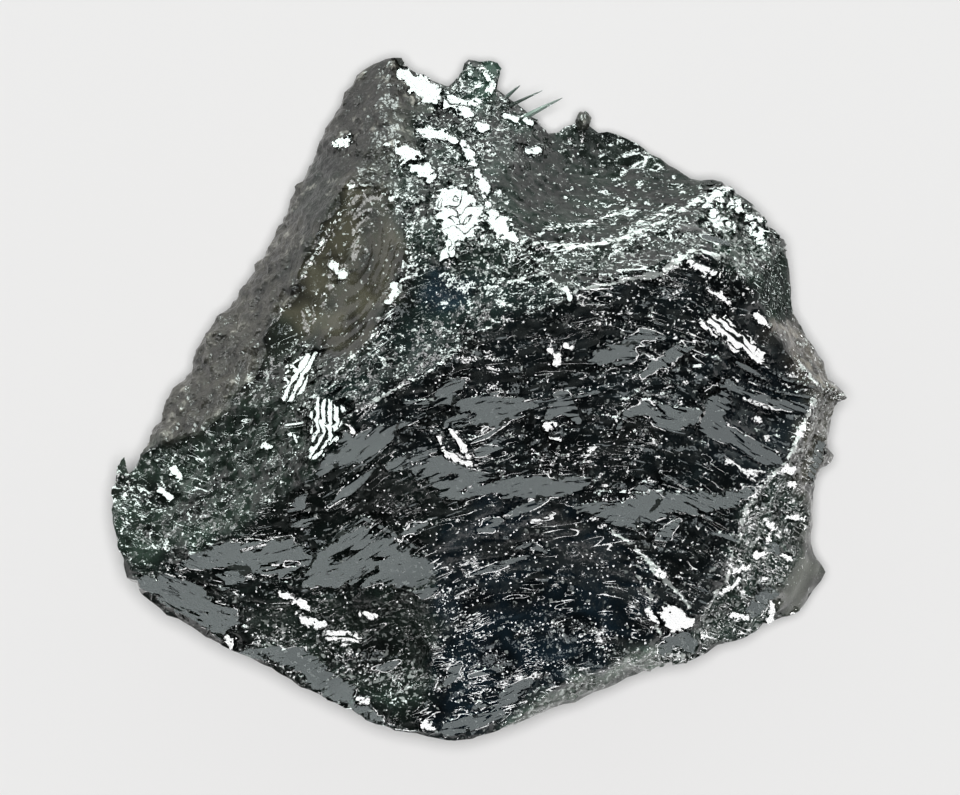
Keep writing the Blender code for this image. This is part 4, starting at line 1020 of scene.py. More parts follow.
# %% [markdown]
# ## Splinters and a knob at the top
#
# A few needles of glass still stand out from the saddle between the block and the scoop. Each is a
# thin tapered prism, rooted a little way inside the stone. Node trees are the tool for pieces that
# repeat by a rule, but these three have each their own place and slant, and become part of the one
# mesh, so a loop makes them here.

# %% Add the splinters
SPLINTERS = [
    # x and y of the root, x and y of the tip, the radius at the root.
    (1.7, 11.2, 3.3, 12.0, 0.11),
    (1.2, 11.7, 2.5, 12.3, 0.07),
    (0.9, 11.9, 1.6, 12.5, 0.09),
]
SPLINTER_SIDES = 5
SPLINTER_RINGS = 7
SPLINTER_TWIST = 0.15  # radians from ring to ring
SPLINTER_POINT = 0.015  # mm, the radius left at the tip
ROOT_DEPTH = 0.25  # mm that a root lies under the surface
SPLINTER_CLIMB = 0.45  # mm from root to tip

upper = data[:, BELOW] < UNDERSIDE
glassy = np.array(look("#6d7a73", glint=0.6, uneven=0.8, cloud=0.9))
added, added_triangles = [], []


def height_at(x, y):
    """The stone's height at the upper point nearest to a place in plan."""
    away = np.hypot(data[:, 0] - x, data[:, 1] - y) + 99.0 * ~upper
    return data[np.argmin(away), 2]


for x0, y0, x1, y1, radius in SPLINTERS:
    root = np.array([x0, y0, height_at(x0, y0) - ROOT_DEPTH])
    tip = np.array([x1, y1, root[2] + SPLINTER_CLIMB])
    axis = unit(tip - root)
    side = unit(np.cross(axis, (0.0, 0.0, 1.0)))
    top = np.cross(side, axis)
    start = len(data) + len(added)
    for ring in range(SPLINTER_RINGS):
        share = ring / (SPLINTER_RINGS - 1)
        size = radius * (1.0 - share) ** 0.6 + SPLINTER_POINT
        for corner in range(SPLINTER_SIDES):
            angle = math.tau * corner / SPLINTER_SIDES + SPLINTER_TWIST * ring
            point = root + (tip - root) * share + size * (math.cos(angle) * side + math.sin(angle) * top)
            added.append(np.concatenate([point, glassy, [0.0]]))
    for ring in range(SPLINTER_RINGS - 1):
        for corner in range(SPLINTER_SIDES):
            a = start + ring * SPLINTER_SIDES + corner
            b = start + ring * SPLINTER_SIDES + (corner + 1) % SPLINTER_SIDES
            added_triangles += [(a, b, b + SPLINTER_SIDES), (a, b + SPLINTER_SIDES, a + SPLINTER_SIDES)]
    for fan, turn in ((start, (0, 2, 1)), (start + SPLINTER_SIDES * (SPLINTER_RINGS - 1), (0, 1, 2))):
        for corner in range(1, SPLINTER_SIDES - 1):
            ends = (fan, fan + corner, fan + corner + 1)
            added_triangles.append(tuple(ends[i] for i in turn))
print(len(SPLINTERS), "splinters of", len(added_triangles) // len(SPLINTERS), "triangles each")

# %% [markdown]
# On the scoop's far rim stands a small round knob, a pebble of the old skin. It is a ball of triangles,
# a little longer than wide, pushed in and out by noise so that it doesn't look turned.

# %% Add the knob
KNOB = (4.12, 11.08, 0.33)  # x and y of its middle, and its radius
KNOB_STRETCH = (0.95, 1.1, 1.0)
KNOB_LUMPS = 0.35  # the share of its radius by which noise moves its surface

ball = bmesh.new()
bmesh.ops.create_icosphere(ball, subdivisions=3, radius=1.0)
knob_points = np.array([v.co for v in ball.verts])
knob_triangles = np.array([[v.index for v in face.verts] for face in ball.faces])
ball.free()
knob_x, knob_y, knob_radius = KNOB
knob_z = height_at(knob_x, knob_y)
lumps = 1.0 + KNOB_LUMPS * swell(knob_points, (0.8, 0.8, 0.8), 41)
knob_points = knob_points * lumps[:, None] * knob_radius
knob_points = knob_points * KNOB_STRETCH + (knob_x, knob_y, knob_z)
pebbly = np.array(look("#2a2b26", skin=0.6, crushed=0.2, glint=0.3, cloud=0.7, lean_z=0.5))
added_triangles += [tuple(row) for row in knob_triangles + len(data) + len(added)]
added += [np.concatenate([point, pebbly, [0.0]]) for point in knob_points]
print("the knob stands at height", round(float(knob_z), 2), "mm")

# %% [markdown]
# Both are joined to the stone's arrays as places that no flat and no bruise lies on, so that the relief
# and the material treat them like the rest of the stone.

# %% Join them to the stone
count = len(added)
data = np.vstack([data, added])
triangles = np.vstack([triangles, added_triangles])
depth, bruise = (np.append(values, np.full(count, FAR)) for values in (depth, bruise))
owner, offset = np.append(owner, np.full(count, -1)), np.append(offset, np.zeros(count))
on_flat, resting = (np.append(values, np.zeros(count, dtype=bool)) for values in (on_flat, resting))
print("splinters and knob add", len(added_triangles), "triangles")

# %% [markdown]
# ## Hackles, blocks, pebbles and ripples
#
# Everything that isn't flat is rougher. Hackles are splintery crests; blocks are chips that each lie at
# their own slant, like crushed glass; pebbles are the growth bumps of the skin; ripples are the fine
# arcs that a crack leaves round the place it started from, and shingles are the steps between sheets.
# Each is a height along the point's own normal, scaled by what its face is like. First come the ones
# that noise makes, which are heights of about one.


# %% Crests, blocks, pebbles and shingles
def crests(points, size, seed):
    """Noise folded into sharp crests, 0 in the valleys and 1 along the crests."""
    return 1.0 - np.minimum(1.0, 2.2 * np.abs(swell(points, size, seed)))


def blocks(points, size, seed):
    """Chips side by side, each at its own height and slant."""
    heights = []
    shift = Vector((seed * 5.3, seed * 9.1, seed * 2.7))
    for p in points / size:
        where = Vector(p) + shift
        _, centres = noise.voronoi(where)
        nearest = centres[0]
        slant = noise.cell_vector(nearest * 3.7) - Vector((0.5, 0.5, 0.5))
        heights.append(1.6 * slant.dot(where - nearest) + 0.9 * (noise.cell(nearest * 3.7) - 0.5))
    return np.array(heights)


def pebbles(points, size, seed):
    """Rounded bumps packed side by side."""
    shift = Vector((seed * 3.3, seed * 1.9, seed * 8.7))
    return np.array([0.55 - noise.voronoi(Vector(p) + shift)[0][0] for p in points / size])


CLIMB, FALL = 0.78, 0.22  # the shares of a shingle that climb and fall


def shingles(points, spacing, seed):
    """Long steps across the grain: up slowly, so that they lean away, and down all at once."""
    phase = grain(points[:, 0], points[:, 1])[:, 1] / spacing + 0.9 * swell(points, (1.6, 0.7, 1.2), seed)
    part = phase % 1.0
    return np.where(part < CLIMB, part / CLIMB, (1.0 - part) / FALL) - 0.5


print("a block is", np.round(np.ptp(blocks(data[:999, :3], 0.80, 1)), 1), "times its measure high")

# %% [markdown]
# Ripples are rings round the place where a crack started, which may lie outside the stone. Each scooped
# face has its own centre. Those of the loop are drawn out to ovals, since that crack ran down a slope.

# %% Ripples
RIPPLE_CENTRES = {  # x and y of where the crack started, and from crest to crest, in mm
    "loop": (-4.9, 5.6, 0.30),
    "scoop": (5.6, 14.5, 0.45),
    "shells": (15.5, 6.5, 0.36),
    "lobe": (10.0, -6.0, 0.50),
    "sill": (4.0, -20.0, 0.30),
}
OVAL = {"loop": (0.45, 0.35)}  # how far a face's rings are squeezed, and the turn of the oval in radians
RIPPLE_FADE = 0.4  # mm beyond a face's outline over which its ripples die away


def ripples(points):
    """Arcs round the place each crack started from."""
    x, y = points[:, 0], points[:, 1]
    weight = np.zeros(len(points))
    total = np.zeros(len(points))
    for name, (cx, cy, spacing) in RIPPLE_CENTRES.items():
        outline = FACES[name][0]
        near = np.where(inside(outline, x, y), 0.0, distance_to(outline, x, y))
        pull = np.exp(-near / RIPPLE_FADE)
        squeeze, turned = OVAL.get(name, (1.0, 0.0))
        across = (x - cx) * math.cos(turned) - (y - cy) * math.sin(turned)
        along = ((x - cx) * math.sin(turned) + (y - cy) * math.cos(turned)) * squeeze
        radius = np.hypot(across, along) + 0.12 * swell(points, (1.4, 1.4, 1.4), 5)
        wave = 2.0 * np.abs((radius / spacing) % 1.0 - 0.5)
        total += pull * (wave * wave - 0.33)
        weight += pull
    return total / np.maximum(weight, 1e-6) * np.minimum(weight, 1.0)


print(len(RIPPLE_CENTRES), "faces have ripples")

# %% [markdown]
# Now each kind is scaled by the look of its face and added up. The flats themselves stay flat, and the
# relief grows from nothing at their lips. The clip at the end holds the stone inside the solid's box.

# %% Lay the fine relief on
HACKLE_SIZE = (0.7, 0.28, 0.4)  # mm
BLOCK_SIZE, BLOCK_SIZE_SMALL = 0.80, 0.36  # mm
PEBBLE_SIZE, PEBBLE_SIZE_SMALL = 0.62, 0.33  # mm
SHINGLE_SIZE, SHINGLE_SIZE_SMALL = 0.85, 0.37  # mm from step to step
SHINGLE_HEIGHT, SHINGLE_HEIGHT_SMALL = 0.11, 0.05  # mm
SWELL_HEIGHT = 0.012  # mm, the slow unevenness that is everywhere
CREST_HEIGHT = 0.04  # mm that a bruised crest stands up
FADE_IN = 0.12  # mm from a flat's lip to where the relief is whole
CREST_EDGE = 0.05  # mm over which a bruised crest rises


def column(name):
    """The numbers of one kind that the points carry."""
    return data[:, COLUMN[name]]


here = data[:, :3]
off_flat = np.where(owner < 0, 1.0, np.clip(-depth / FADE_IN, 0.0, 1.0)) * ~on_flat * ~resting
relief = column("hackle") * (1.6 * crests(here, HACKLE_SIZE, 3) - 0.8) * off_flat
relief += (column("block") * (blocks(here, BLOCK_SIZE, 1) + 0.5 * blocks(here, BLOCK_SIZE_SMALL, 2))
           * off_flat)
relief += (column("pebble") * (pebbles(here, PEBBLE_SIZE, 1) + 0.6 * pebbles(here, PEBBLE_SIZE_SMALL, 2))
           * 1.5 * off_flat)
relief += column("ripple") * ripples(here) * 1.5 * off_flat
relief += SWELL_HEIGHT * swell(here, (2.2, 1.2, 1.6), 6) * off_flat
relief += column("sheeted") * (SHINGLE_HEIGHT * shingles(here, SHINGLE_SIZE, 3)
                               + SHINGLE_HEIGHT_SMALL * shingles(here, SHINGLE_SIZE_SMALL, 4)) * off_flat
bruised = np.clip(1.0 + bruise / CREST_EDGE, 0.0, 1.0)
relief += bruised * CREST_HEIGHT * ~on_flat
data[:, :3] += relief[:, None] * point_normals(here, triangles)
low, high = (np.array(corner) / MM for corner in cad_box)
data[:, :3] = np.clip(data[:, :3], low, high)
print("relief from", round(float(relief.min()), 3), "to", round(float(relief.max()), 3), "mm")
print("stone spans", np.round(np.ptp(data[:, :3], axis=0), 2), "mm")

# %% [markdown]
# ## One mesh, with its finish in attributes
#
# The arrays become a Blender mesh. Sheets, scoops and ripples are shaded smooth, while blocky places
# stay faceted, since every little facet there is a mirror of its own and that is what sparkles.

# %% Build the mesh
BLOCKY = 0.05  # mm, the height of blocks from which a place is shaded faceted
SHARP = math.radians(24)

stone_mesh = bpy.data.meshes.new("tourmaline_stone")
stone_mesh.vertices.add(len(data))
stone_mesh.vertices.foreach_set("co", (data[:, :3] * MM).reshape(-1))
stone_mesh.loops.add(len(triangles) * 3)
stone_mesh.loops.foreach_set("vertex_index", triangles.reshape(-1))
stone_mesh.polygons.add(len(triangles))
stone_mesh.polygons.foreach_set("loop_start", np.arange(len(triangles)) * 3)
faceted_faces = ((column("block") > BLOCKY) & ~on_flat)[triangles].any(axis=1)
stone_mesh.polygons.foreach_set("use_smooth", ~faceted_faces)
stone_mesh.update(calc_edges=True)
stone_mesh.validate()
print(len(stone_mesh.polygons), "triangles,", int(faceted_faces.sum()), "of them faceted")

# %% [markdown]
# The numbers that the material needs go on the points as attributes, so that the finish sits where the
# shape does. Three slow noises, a millimetre or so across, are laid on the points too.

# %% Write the finish on the points
kinds = np.array([kind for kind, _ in FLATS] + ["none"])[owner]
finish = {name: column(name) for name in ("crushed", "glint", "uneven", "cloud", "sheeted")}
finish["skin"] = column("skin") * (depth < 0.0)
finish["shaded"] = shaded_by_ridge(here[:, 0], here[:, 1], column("sheeted"))
finish["depth"] = np.clip(depth, -1.0, 1.0)
finish["bruise"] = np.clip(bruise, -1.0, 1.0)
finish["mirror"] = (kinds == "mirror") | (kinds == "crackled") | (kinds == "striped")
finish["crackled"] = kinds == "crackled"
finish["striped"] = kinds == "striped"
finish["stripe"] = np.where(kinds == "striped", offset, 0.0)
for number, name in enumerate(("patch", "mottle", "blotch")):
    finish[name] = (swell(here, (1.3, 1.1, 1.2), 21 + number)
                    + 0.5 * swell(here, (0.5, 0.5, 0.5), 31 + number))
for name, values in finish.items():
    numbers = np.ascontiguousarray(values, dtype=np.float32)
    stone_mesh.attributes.new(name, "FLOAT", "POINT").data.foreach_set("value", numbers)
directions = {"grain": grain(data[:, 0], data[:, 1]),
              "lean": data[:, COLUMN["lean_x"]:COLUMN["lean_z"] + 1]}
for name, values in directions.items():
    numbers = np.ascontiguousarray(values, dtype=np.float32).reshape(-1)
    stone_mesh.attributes.new(name, "FLOAT_VECTOR", "POINT").data.foreach_set("vector", numbers)
tint = np.ones((len(data), 4), dtype=np.float32)
tint[:, :3] = data[:, COLUMN["red"]:COLUMN["blue"] + 1]
stone_mesh.attributes.new("tint", "FLOAT_COLOR", "POINT").data.foreach_set("color", tint.reshape(-1))
stone_mesh.set_sharp_from_angle(angle=SHARP)
stone = bpy.data.objects.new("tourmaline_stone", stone_mesh)
bpy.context.scene.collection.objects.link(stone)
print("the points carry", ", ".join(list(finish) + list(directions) + ["tint"]))

# %% [markdown]
# ## Tourmaline: a dark absorbing glass with a matt grown skin
#
# Tourmaline is a clear mineral with an index of about 1.63, so it reflects a little more than window
# glass. Its colour is all inside: iron drinks the light within a millimetre or two, so thick places
# are black and thin edges bottle green. That is volume absorption behind a clear surface. Where the
# glass is full of fine cracks it scatters some light back before it is drunk: a dark cloud of its own
# tint, and nearly white where it is bruised. The natural skin was etched while the crystal grew, and is
# matt and brown-grey, so there the surface lets nothing through.
#
# All of the nodes are added by one function, which gives back the new node's output, so that it can be
# the next node's input.


# %% A function that adds a node
def node(tree, kind, inputs=(), output=0, **settings):
    """Adds a node of a kind, such as "Math", with its settings, and gives back one of its outputs.

    The inputs are a list in the node's own order, or a dictionary by name or number where only some
    are set. Each is a plain value, or another node's output that is then linked."""
    made = tree.nodes.new("ShaderNode" + kind)
    for name, value in settings.items():
        setattr(made, name, value)
    for name, value in inputs.items() if isinstance(inputs, dict) else enumerate(inputs):
        if isinstance(value, bpy.types.NodeSocket):
            tree.links.new(value, made.inputs[name])
        else:
            made.inputs[name].default_value = value
    return made.outputs[output] if made.outputs else made


tourmaline = bpy.data.materials.new("bottle_green_tourmaline_broken_and_grown")
tourmaline.use_nodes = True
tree = tourmaline.node_tree
tree.nodes.clear()
at_point = {name: node(tree, "Attribute", output="Fac", attribute_name=name) for name in finish}
grain_here = node(tree, "Attribute", output="Vector", attribute_name="grain")
lean_here = node(tree, "Attribute", output="Vector", attribute_name="lean")
tint_here = node(tree, "Attribute", output="Color", attribute_name="tint")
where = node(tree, "TexCoord", output="Object")
mesh_normal = node(tree, "NewGeometry", output="Normal")
print("the material reads", len(at_point), "numbers, two directions and a tint from the points")

# %% [markdown]
# Three noises are read again and again. Slivers run with the grain, like the mesh's own feathers but
# finer. Chips and cracks are the same every way.

# %% Slivers, chips and cracks
SLIVERS_PER_MM = (1.1, 6.0, 1.0)  # along and across the grain: each is 0.9 mm long and 0.17 mm wide
CHIP_SIZE = 0.30  # mm
CRACK_SIZE = 0.70  # mm, between one crack and the next

along_grain = node(tree, "VectorMath", [grain_here, SLIVERS_PER_MM], operation="MULTIPLY")
sliver = node(tree, "TexNoise", {"Vector": along_grain, "Scale": 1.0, "Detail": 2.5, "Roughness": 0.55,
                                 "Distortion": 0.4})
chip = node(tree, "TexNoise", {"Vector": where, "Scale": 1 / (CHIP_SIZE * MM), "Detail": 2.5,
                               "Roughness": 0.65, "Distortion": 0.6})
crack = node(tree, "TexNoise", {"Vector": where, "Scale": 1 / (CRACK_SIZE * MM), "Detail": 0.7,
                                "Roughness": 0.6, "Distortion": 1.2})
print("chips of", CHIP_SIZE, "mm and cracks", CRACK_SIZE, "mm apart")

# %% [markdown]
# A flat is whole in its middle and frays towards its lip, so that the lip's outline is ragged too. Slivers
# split the sheets, and chips split the white flats, more so the nearer the lip is. A crackled flat also
# has a crack wherever the crack noise passes one level. A striped one has them side by side, a quarter
# of a millimetre apart, bent by the same noise.

# %% Where the flats are whole
SHEET_FRAY = (0.0, 0.35)  # mm from the lip over which a sheet becomes whole
SLIVER_SPLITS = (0.53, 0.625)  # the sliver level that still splits it at the lip, and past the fray
MIRROR_FRAY = (0.0, 0.30)
CHIP_SPLITS = (0.49, 0.76)
SPLIT_BLUR = 0.012  # over how much of a noise's level a split sets in
CHIP_BLUR = 0.015
CRACK_LEVEL = 0.52
CRACK_WIDTH = (0.020, 0.030)  # as levels of the noise, from full to nothing
STRIPE = 0.13  # mm, half the way from stripe to stripe
STRIPE_EDGE = (0.136, 0.148)
BEND_BY_CHIP, BEND_BY_CRACK = 0.12, 0.40  # mm, times the noises
STRIPE_UNEVEN = 0.20
LIP_BLUR = 0.004  # mm

sheet_level = node(tree, "MapRange", [at_point["depth"], *SHEET_FRAY, *SLIVER_SPLITS])
over_level = node(tree, "Math", [sliver, sheet_level], operation="SUBTRACT")
sheet_split = node(tree, "MapRange", [over_level, 0.0, SPLIT_BLUR])
mirror_level = node(tree, "MapRange", [at_point["depth"], *MIRROR_FRAY, *CHIP_SPLITS])
over_level = node(tree, "Math", [chip, mirror_level], operation="SUBTRACT")
chip_split = node(tree, "MapRange", [over_level, 0.0, CHIP_BLUR])
off_crack = node(tree, "Math", [crack, CRACK_LEVEL], operation="SUBTRACT")
off_crack = node(tree, "Math", [off_crack], operation="ABSOLUTE")
in_crack = node(tree, "MapRange", [off_crack, *CRACK_WIDTH, 1.0, 0.0])
crack_split = node(tree, "Math", [at_point["crackled"], in_crack], operation="MULTIPLY")
bend = node(tree, "Math", [chip, BEND_BY_CHIP], operation="MULTIPLY")
bend = node(tree, "Math", [crack, BEND_BY_CRACK, bend], operation="MULTIPLY_ADD")
bent_stripe = node(tree, "Math", [at_point["stripe"], bend], operation="ADD")
to_and_fro = node(tree, "Math", [bent_stripe, STRIPE], operation="PINGPONG")
uneven_stripe = node(tree, "Math", [crack, STRIPE_UNEVEN, to_and_fro], operation="MULTIPLY_ADD")
in_stripe = node(tree, "MapRange", [uneven_stripe, *STRIPE_EDGE, 1.0, 0.0])
stripe_split = node(tree, "Math", [at_point["striped"], in_stripe], operation="MULTIPLY")
mirror_split = node(tree, "Math", [chip_split, crack_split], operation="MAXIMUM")
mirror_split = node(tree, "Math", [mirror_split, stripe_split], operation="MAXIMUM")
split = node(tree, "Mix", {0: at_point["mirror"], 2: sheet_split, 3: mirror_split})
unsplit = node(tree, "Math", [1.0, split], operation="SUBTRACT")
inside_lip = node(tree, "MapRange", [at_point["depth"], 0.0, LIP_BLUR])
whole = node(tree, "Math", [inside_lip, unsplit], operation="MULTIPLY")
rough_here = node(tree, "Math", [1.0, whole], operation="SUBTRACT")
print(len(tree.nodes), "nodes so far")

# %% [markdown]
# Between the flats the glass is made of facets finer than the mesh. A real one may be a hundredth of a
# millimetre; these are drawn at 0.06 mm, as coarse as it takes to see them, and each has its own tilt.
# Bumps the size of chips and of cracks turn the surface as well, by more in uneven places, and each
# face has its own lean. A crack in a white flat drops away from the light that the flat faces.

# %% Which way the broken glass faces
FACET_SIZE = 0.062  # mm
TILT = (0.10, 0.50)  # how far facets tilt where the glass is whole, and where it is crushed
ALL_CRUSHED = 0.6
BUMPS = (0.8, 0.8, 0.2)
CRACK_LEAN = (-0.30, -0.40, 0.0)
CRACK_LEAN_EDGE = (-0.15, -0.02)  # mm of depth over which a mirror's own lean sets in

facet = node(tree, "TexVoronoi", {"Vector": where, "Scale": 1 / (FACET_SIZE * MM)}, "Color")
tilt = node(tree, "VectorMath", [facet, (0.5, 0.5, 0.5)], operation="SUBTRACT")
tilt = node(tree, "VectorMath", [tilt, (1.0, 1.0, 0.0)], operation="MULTIPLY")
tilt_size = node(tree, "MapRange", [at_point["crushed"], 0.0, ALL_CRUSHED, *TILT])
facets = node(tree, "VectorMath", {0: tilt, 3: tilt_size}, operation="SCALE")
bumps = node(tree, "VectorMath", [chip.node.outputs["Color"], crack.node.outputs["Color"]], operation="ADD")
bumps = node(tree, "VectorMath", [bumps, (1.0, 1.0, 1.0)], operation="SUBTRACT")
bumps = node(tree, "VectorMath", [bumps, BUMPS], operation="MULTIPLY")
bumps = node(tree, "VectorMath", {0: bumps, 3: at_point["uneven"]}, operation="SCALE")
near_mirror = node(tree, "MapRange", [at_point["depth"], *CRACK_LEAN_EDGE])
in_mirror = node(tree, "Math", [at_point["mirror"], near_mirror], operation="MULTIPLY")
crack_lean = node(tree, "VectorMath", {0: CRACK_LEAN, 3: in_mirror}, operation="SCALE")
leaned = mesh_normal
for turned_by in (facets, lean_here, bumps, crack_lean):
    leaned = node(tree, "VectorMath", [leaned, turned_by], operation="ADD")
print("facets of", FACET_SIZE, "mm")

# %% [markdown]
# A few facets look straight at the bright end of the studio and flash white. They come as dots, as the
# thin lips of the smallest steps, which run with the grain, and as longer lines. The patchy noise says
# how thick each kind lies. A sheet's lip catches the light here and there as well.

# %% Glints
DOT_SHARE = (0.007, 0.036)  # the share of the facets that glint, from bare to thick patches
DOT_PATCH = (-0.50, 0.60)  # the patchy noise from bare to thick
LIP_OF_STEP_PATCH = (0.20, 0.50)
LONG_LINE_PATCH = (-0.15, -0.45)
LINE_WIDTH = 0.012  # as levels of the noise
LIP_LINE = (-0.035, -0.004)  # mm of depth between which a lip may shine
LIP_PATCH = 0.14
BRUISE_EDGE = (-0.10, 0.02)  # mm
BRUISE_GLINT = 2.5
STRAND_SCALE = 0.45  # strands are so much coarser than slivers: 2 mm long and 0.4 mm wide
MIDDLE = 0.5  # the noise's middle level, where it draws thin lines

crumbling = node(tree, "MapRange", [at_point["bruise"], *BRUISE_EDGE, 0.0, BRUISE_GLINT])
glint_share = node(tree, "Math", [at_point["glint"], crumbling], operation="ADD")
drawn_lot = node(tree, "SeparateColor", {"Color": facet}, "Blue")
dot_share = node(tree, "MapRange", [at_point["patch"], *DOT_PATCH, *DOT_SHARE])
dot_share = node(tree, "Math", [glint_share, dot_share], operation="MULTIPLY")
dot_level = node(tree, "Math", [1.0, dot_share], operation="SUBTRACT")
dots = node(tree, "Math", [drawn_lot, dot_level], operation="GREATER_THAN")
strand = node(tree, "TexNoise", {"Vector": along_grain, "Scale": STRAND_SCALE, "Detail": 1.0,
                                 "Roughness": 0.5, "Distortion": 0.7})
lines = []
for level, patches in ((sliver, LIP_OF_STEP_PATCH), (strand, LONG_LINE_PATCH)):
    off_line = node(tree, "Math", [level, MIDDLE], operation="SUBTRACT")
    off_line = node(tree, "Math", [off_line], operation="ABSOLUTE")
    width = node(tree, "MapRange", [at_point["patch"], *patches, 0.0, LINE_WIDTH])
    width = node(tree, "Math", [glint_share, width], operation="MULTIPLY")
    lines.append(node(tree, "Math", [off_line, width], operation="LESS_THAN"))
above_foot = node(tree, "Math", [at_point["depth"], LIP_LINE[0]], operation="GREATER_THAN")
below_lip = node(tree, "Math", [at_point["depth"], LIP_LINE[1]], operation="LESS_THAN")
lip_line = node(tree, "Math", [above_foot, below_lip], operation="MULTIPLY")
lip_line = node(tree, "Math", [lip_line, at_point["mirror"]], operation="SUBTRACT")
in_patch = node(tree, "Math", [at_point["patch"], LIP_PATCH], operation="GREATER_THAN")
lip_line = node(tree, "Math", [lip_line, in_patch], operation="MULTIPLY")
glint = dots
for more in (lip_line, *lines):
    glint = node(tree, "Math", [glint, more], operation="MAXIMUM")
print(len(tree.nodes), "nodes so far")

# %% [markdown]
# The normals are put together from the roughest to the flattest: the leaning broken glass, small flakes
# of sheet that are left between the great ones and mirror the same grey, the glints, and last the whole
# parts of the flats, which keep the mesh's own normal.

# %% Put the normals together
FLAKE_LEVEL = 0.668
FLAKE_MOTTLE = 0.10
FLAKED = 0.9  # only a face more sheeted than this has flakes
GLINT_TILT = 0.16  # how far glints stray from the light, so that some are dimmer

flake_noise = node(tree, "Math", [at_point["mottle"], FLAKE_MOTTLE, sliver], operation="MULTIPLY_ADD")
flakes = node(tree, "Math", [flake_noise, FLAKE_LEVEL], operation="GREATER_THAN")
flaked_face = node(tree, "Math", [at_point["sheeted"], FLAKED], operation="GREATER_THAN")
flakes = node(tree, "Math", [flaked_face, flakes], operation="MULTIPLY")
to_light = node(tree, "Mix", {0: at_point["shaded"], 4: WHITE_NORMAL.tolist(), 5: SIDE_NORMAL.tolist()}, 1,
                data_type="VECTOR")
stray = node(tree, "VectorMath", {0: tilt, 3: GLINT_TILT}, operation="SCALE")
to_light = node(tree, "VectorMath", [to_light, stray], operation="ADD")
broken_normal = node(tree, "Mix", {0: flakes, 4: leaned, 5: SHEET_NORMAL.tolist()}, 1, data_type="VECTOR")
broken_normal = node(tree, "Mix", {0: glint, 4: broken_normal, 5: to_light}, 1, data_type="VECTOR")
broken_normal = node(tree, "Mix", {0: rough_here, 4: mesh_normal, 5: broken_normal}, 1, data_type="VECTOR")
print(len(tree.nodes), "nodes so far")

# %% [markdown]
# The skin is brown-grey and mottled, pebble by pebble: its colour is painted darker between the pebbles
# and lighter on their tops, a painted shade and a painted highlight, and the highest pebbles are painted
# pale, a painted highlight. Blotches about 1.5 mm across break its edge up. Its finest pebbles are relief
# too fine for the mesh, so a bump stands for them.

# %% The grown skin
SKIN_EDGE = (0.36, 0.46)  # shares of skin between which it begins
BLOTCH_BREAKS = 0.35  # how far a blotch moves the edge
BLOTCH_SHADES = 0.16
# The skin's tint is painted darker between the pebbles (painted shade) and lighter on their tops (painted
# highlight).
SKIN_LEVELS, PEBBLE_SHADE_AND_LIGHT = (0.28, 0.72), (0.22, 1.75)  # between pebbles, and on top of them
PAINTED_HIGHLIGHT_LEVELS, BRIGHTEST_PAINTED_HIGHLIGHT = (0.64, 0.78), 0.55
PEBBLE_GRAIN = 0.45  # mm
PEBBLE_BUMP = 0.16  # mm

skin_share = node(tree, "Math", [at_point["blotch"], BLOTCH_BREAKS, at_point["skin"]],
                  operation="MULTIPLY_ADD")
skin_mask = node(tree, "MapRange", [skin_share, *SKIN_EDGE])
skin_grain = node(tree, "TexNoise", {"Vector": where, "Scale": 1 / (PEBBLE_GRAIN * MM), "Detail": 2.5,
                                     "Roughness": 0.65})
skin_level = node(tree, "Math", [at_point["blotch"], BLOTCH_SHADES, skin_grain], operation="MULTIPLY_ADD")
# The tint follows the pebbles' bump height: painted shade between them and painted light on their tops, with
# the blotches' own tone mixed in.
pebble_shade_and_light = node(tree, "MapRange", [skin_level, *SKIN_LEVELS, *PEBBLE_SHADE_AND_LIGHT])
skin_colour = node(tree, "Mix", {0: 1.0, 6: tint_here, 7: pebble_shade_and_light}, 2, data_type="RGBA",
                   blend_type="MULTIPLY")
# The highest pebbles are painted pale towards #aaa59d: a painted highlight.
painted_pebble_highlight = node(tree, "MapRange", [skin_level, *PAINTED_HIGHLIGHT_LEVELS, 0.0, BRIGHTEST_PAINTED_HIGHLIGHT])
skin_colour = node(tree, "Mix", {0: painted_pebble_highlight, 6: skin_colour, 7: linear("#aaa59d")}, 2, data_type="RGBA")
skin_normal = node(tree, "Bump", {"Height": skin_grain, "Strength": skin_mask, "Distance": PEBBLE_BUMP * MM})
print(len(tree.nodes), "nodes so far")

# %% [markdown]
# The cloud has the face's own tint, mottled, with pale flecks of crushed glass and pale threads along
# the bruised crests. Where a flat is whole the light is mostly mirrored, and less of the cloud shows.

# %% The cloud inside the glass
MOTTLE_LEVELS, CLOUD_SHADES = (-0.5, 0.5), (0.30, 1.8)  # from the darkest mottle to the palest
CRUSHED_MOTTLE = 4.0  # how much more chips mottle it where it is crushed
CRUSHED_FLECKS = 0.19  # how much crushing adds to the flecks' level
FLECK_SIZE = 0.20  # mm between flecks, which are about 0.1 mm across
FLECK_EDGE = (0.66, 0.70)
FLECK_STRENGTH = 0.7
THREAD_RAGGED, THREAD_LEVEL = 0.45, 0.285  # mm of depth: chips make a thread's edge ragged
PALE_CLOUD = 0.45  # how much cloudier a fleck or a thread is
CLOUD_IN_FLAT = 0.3

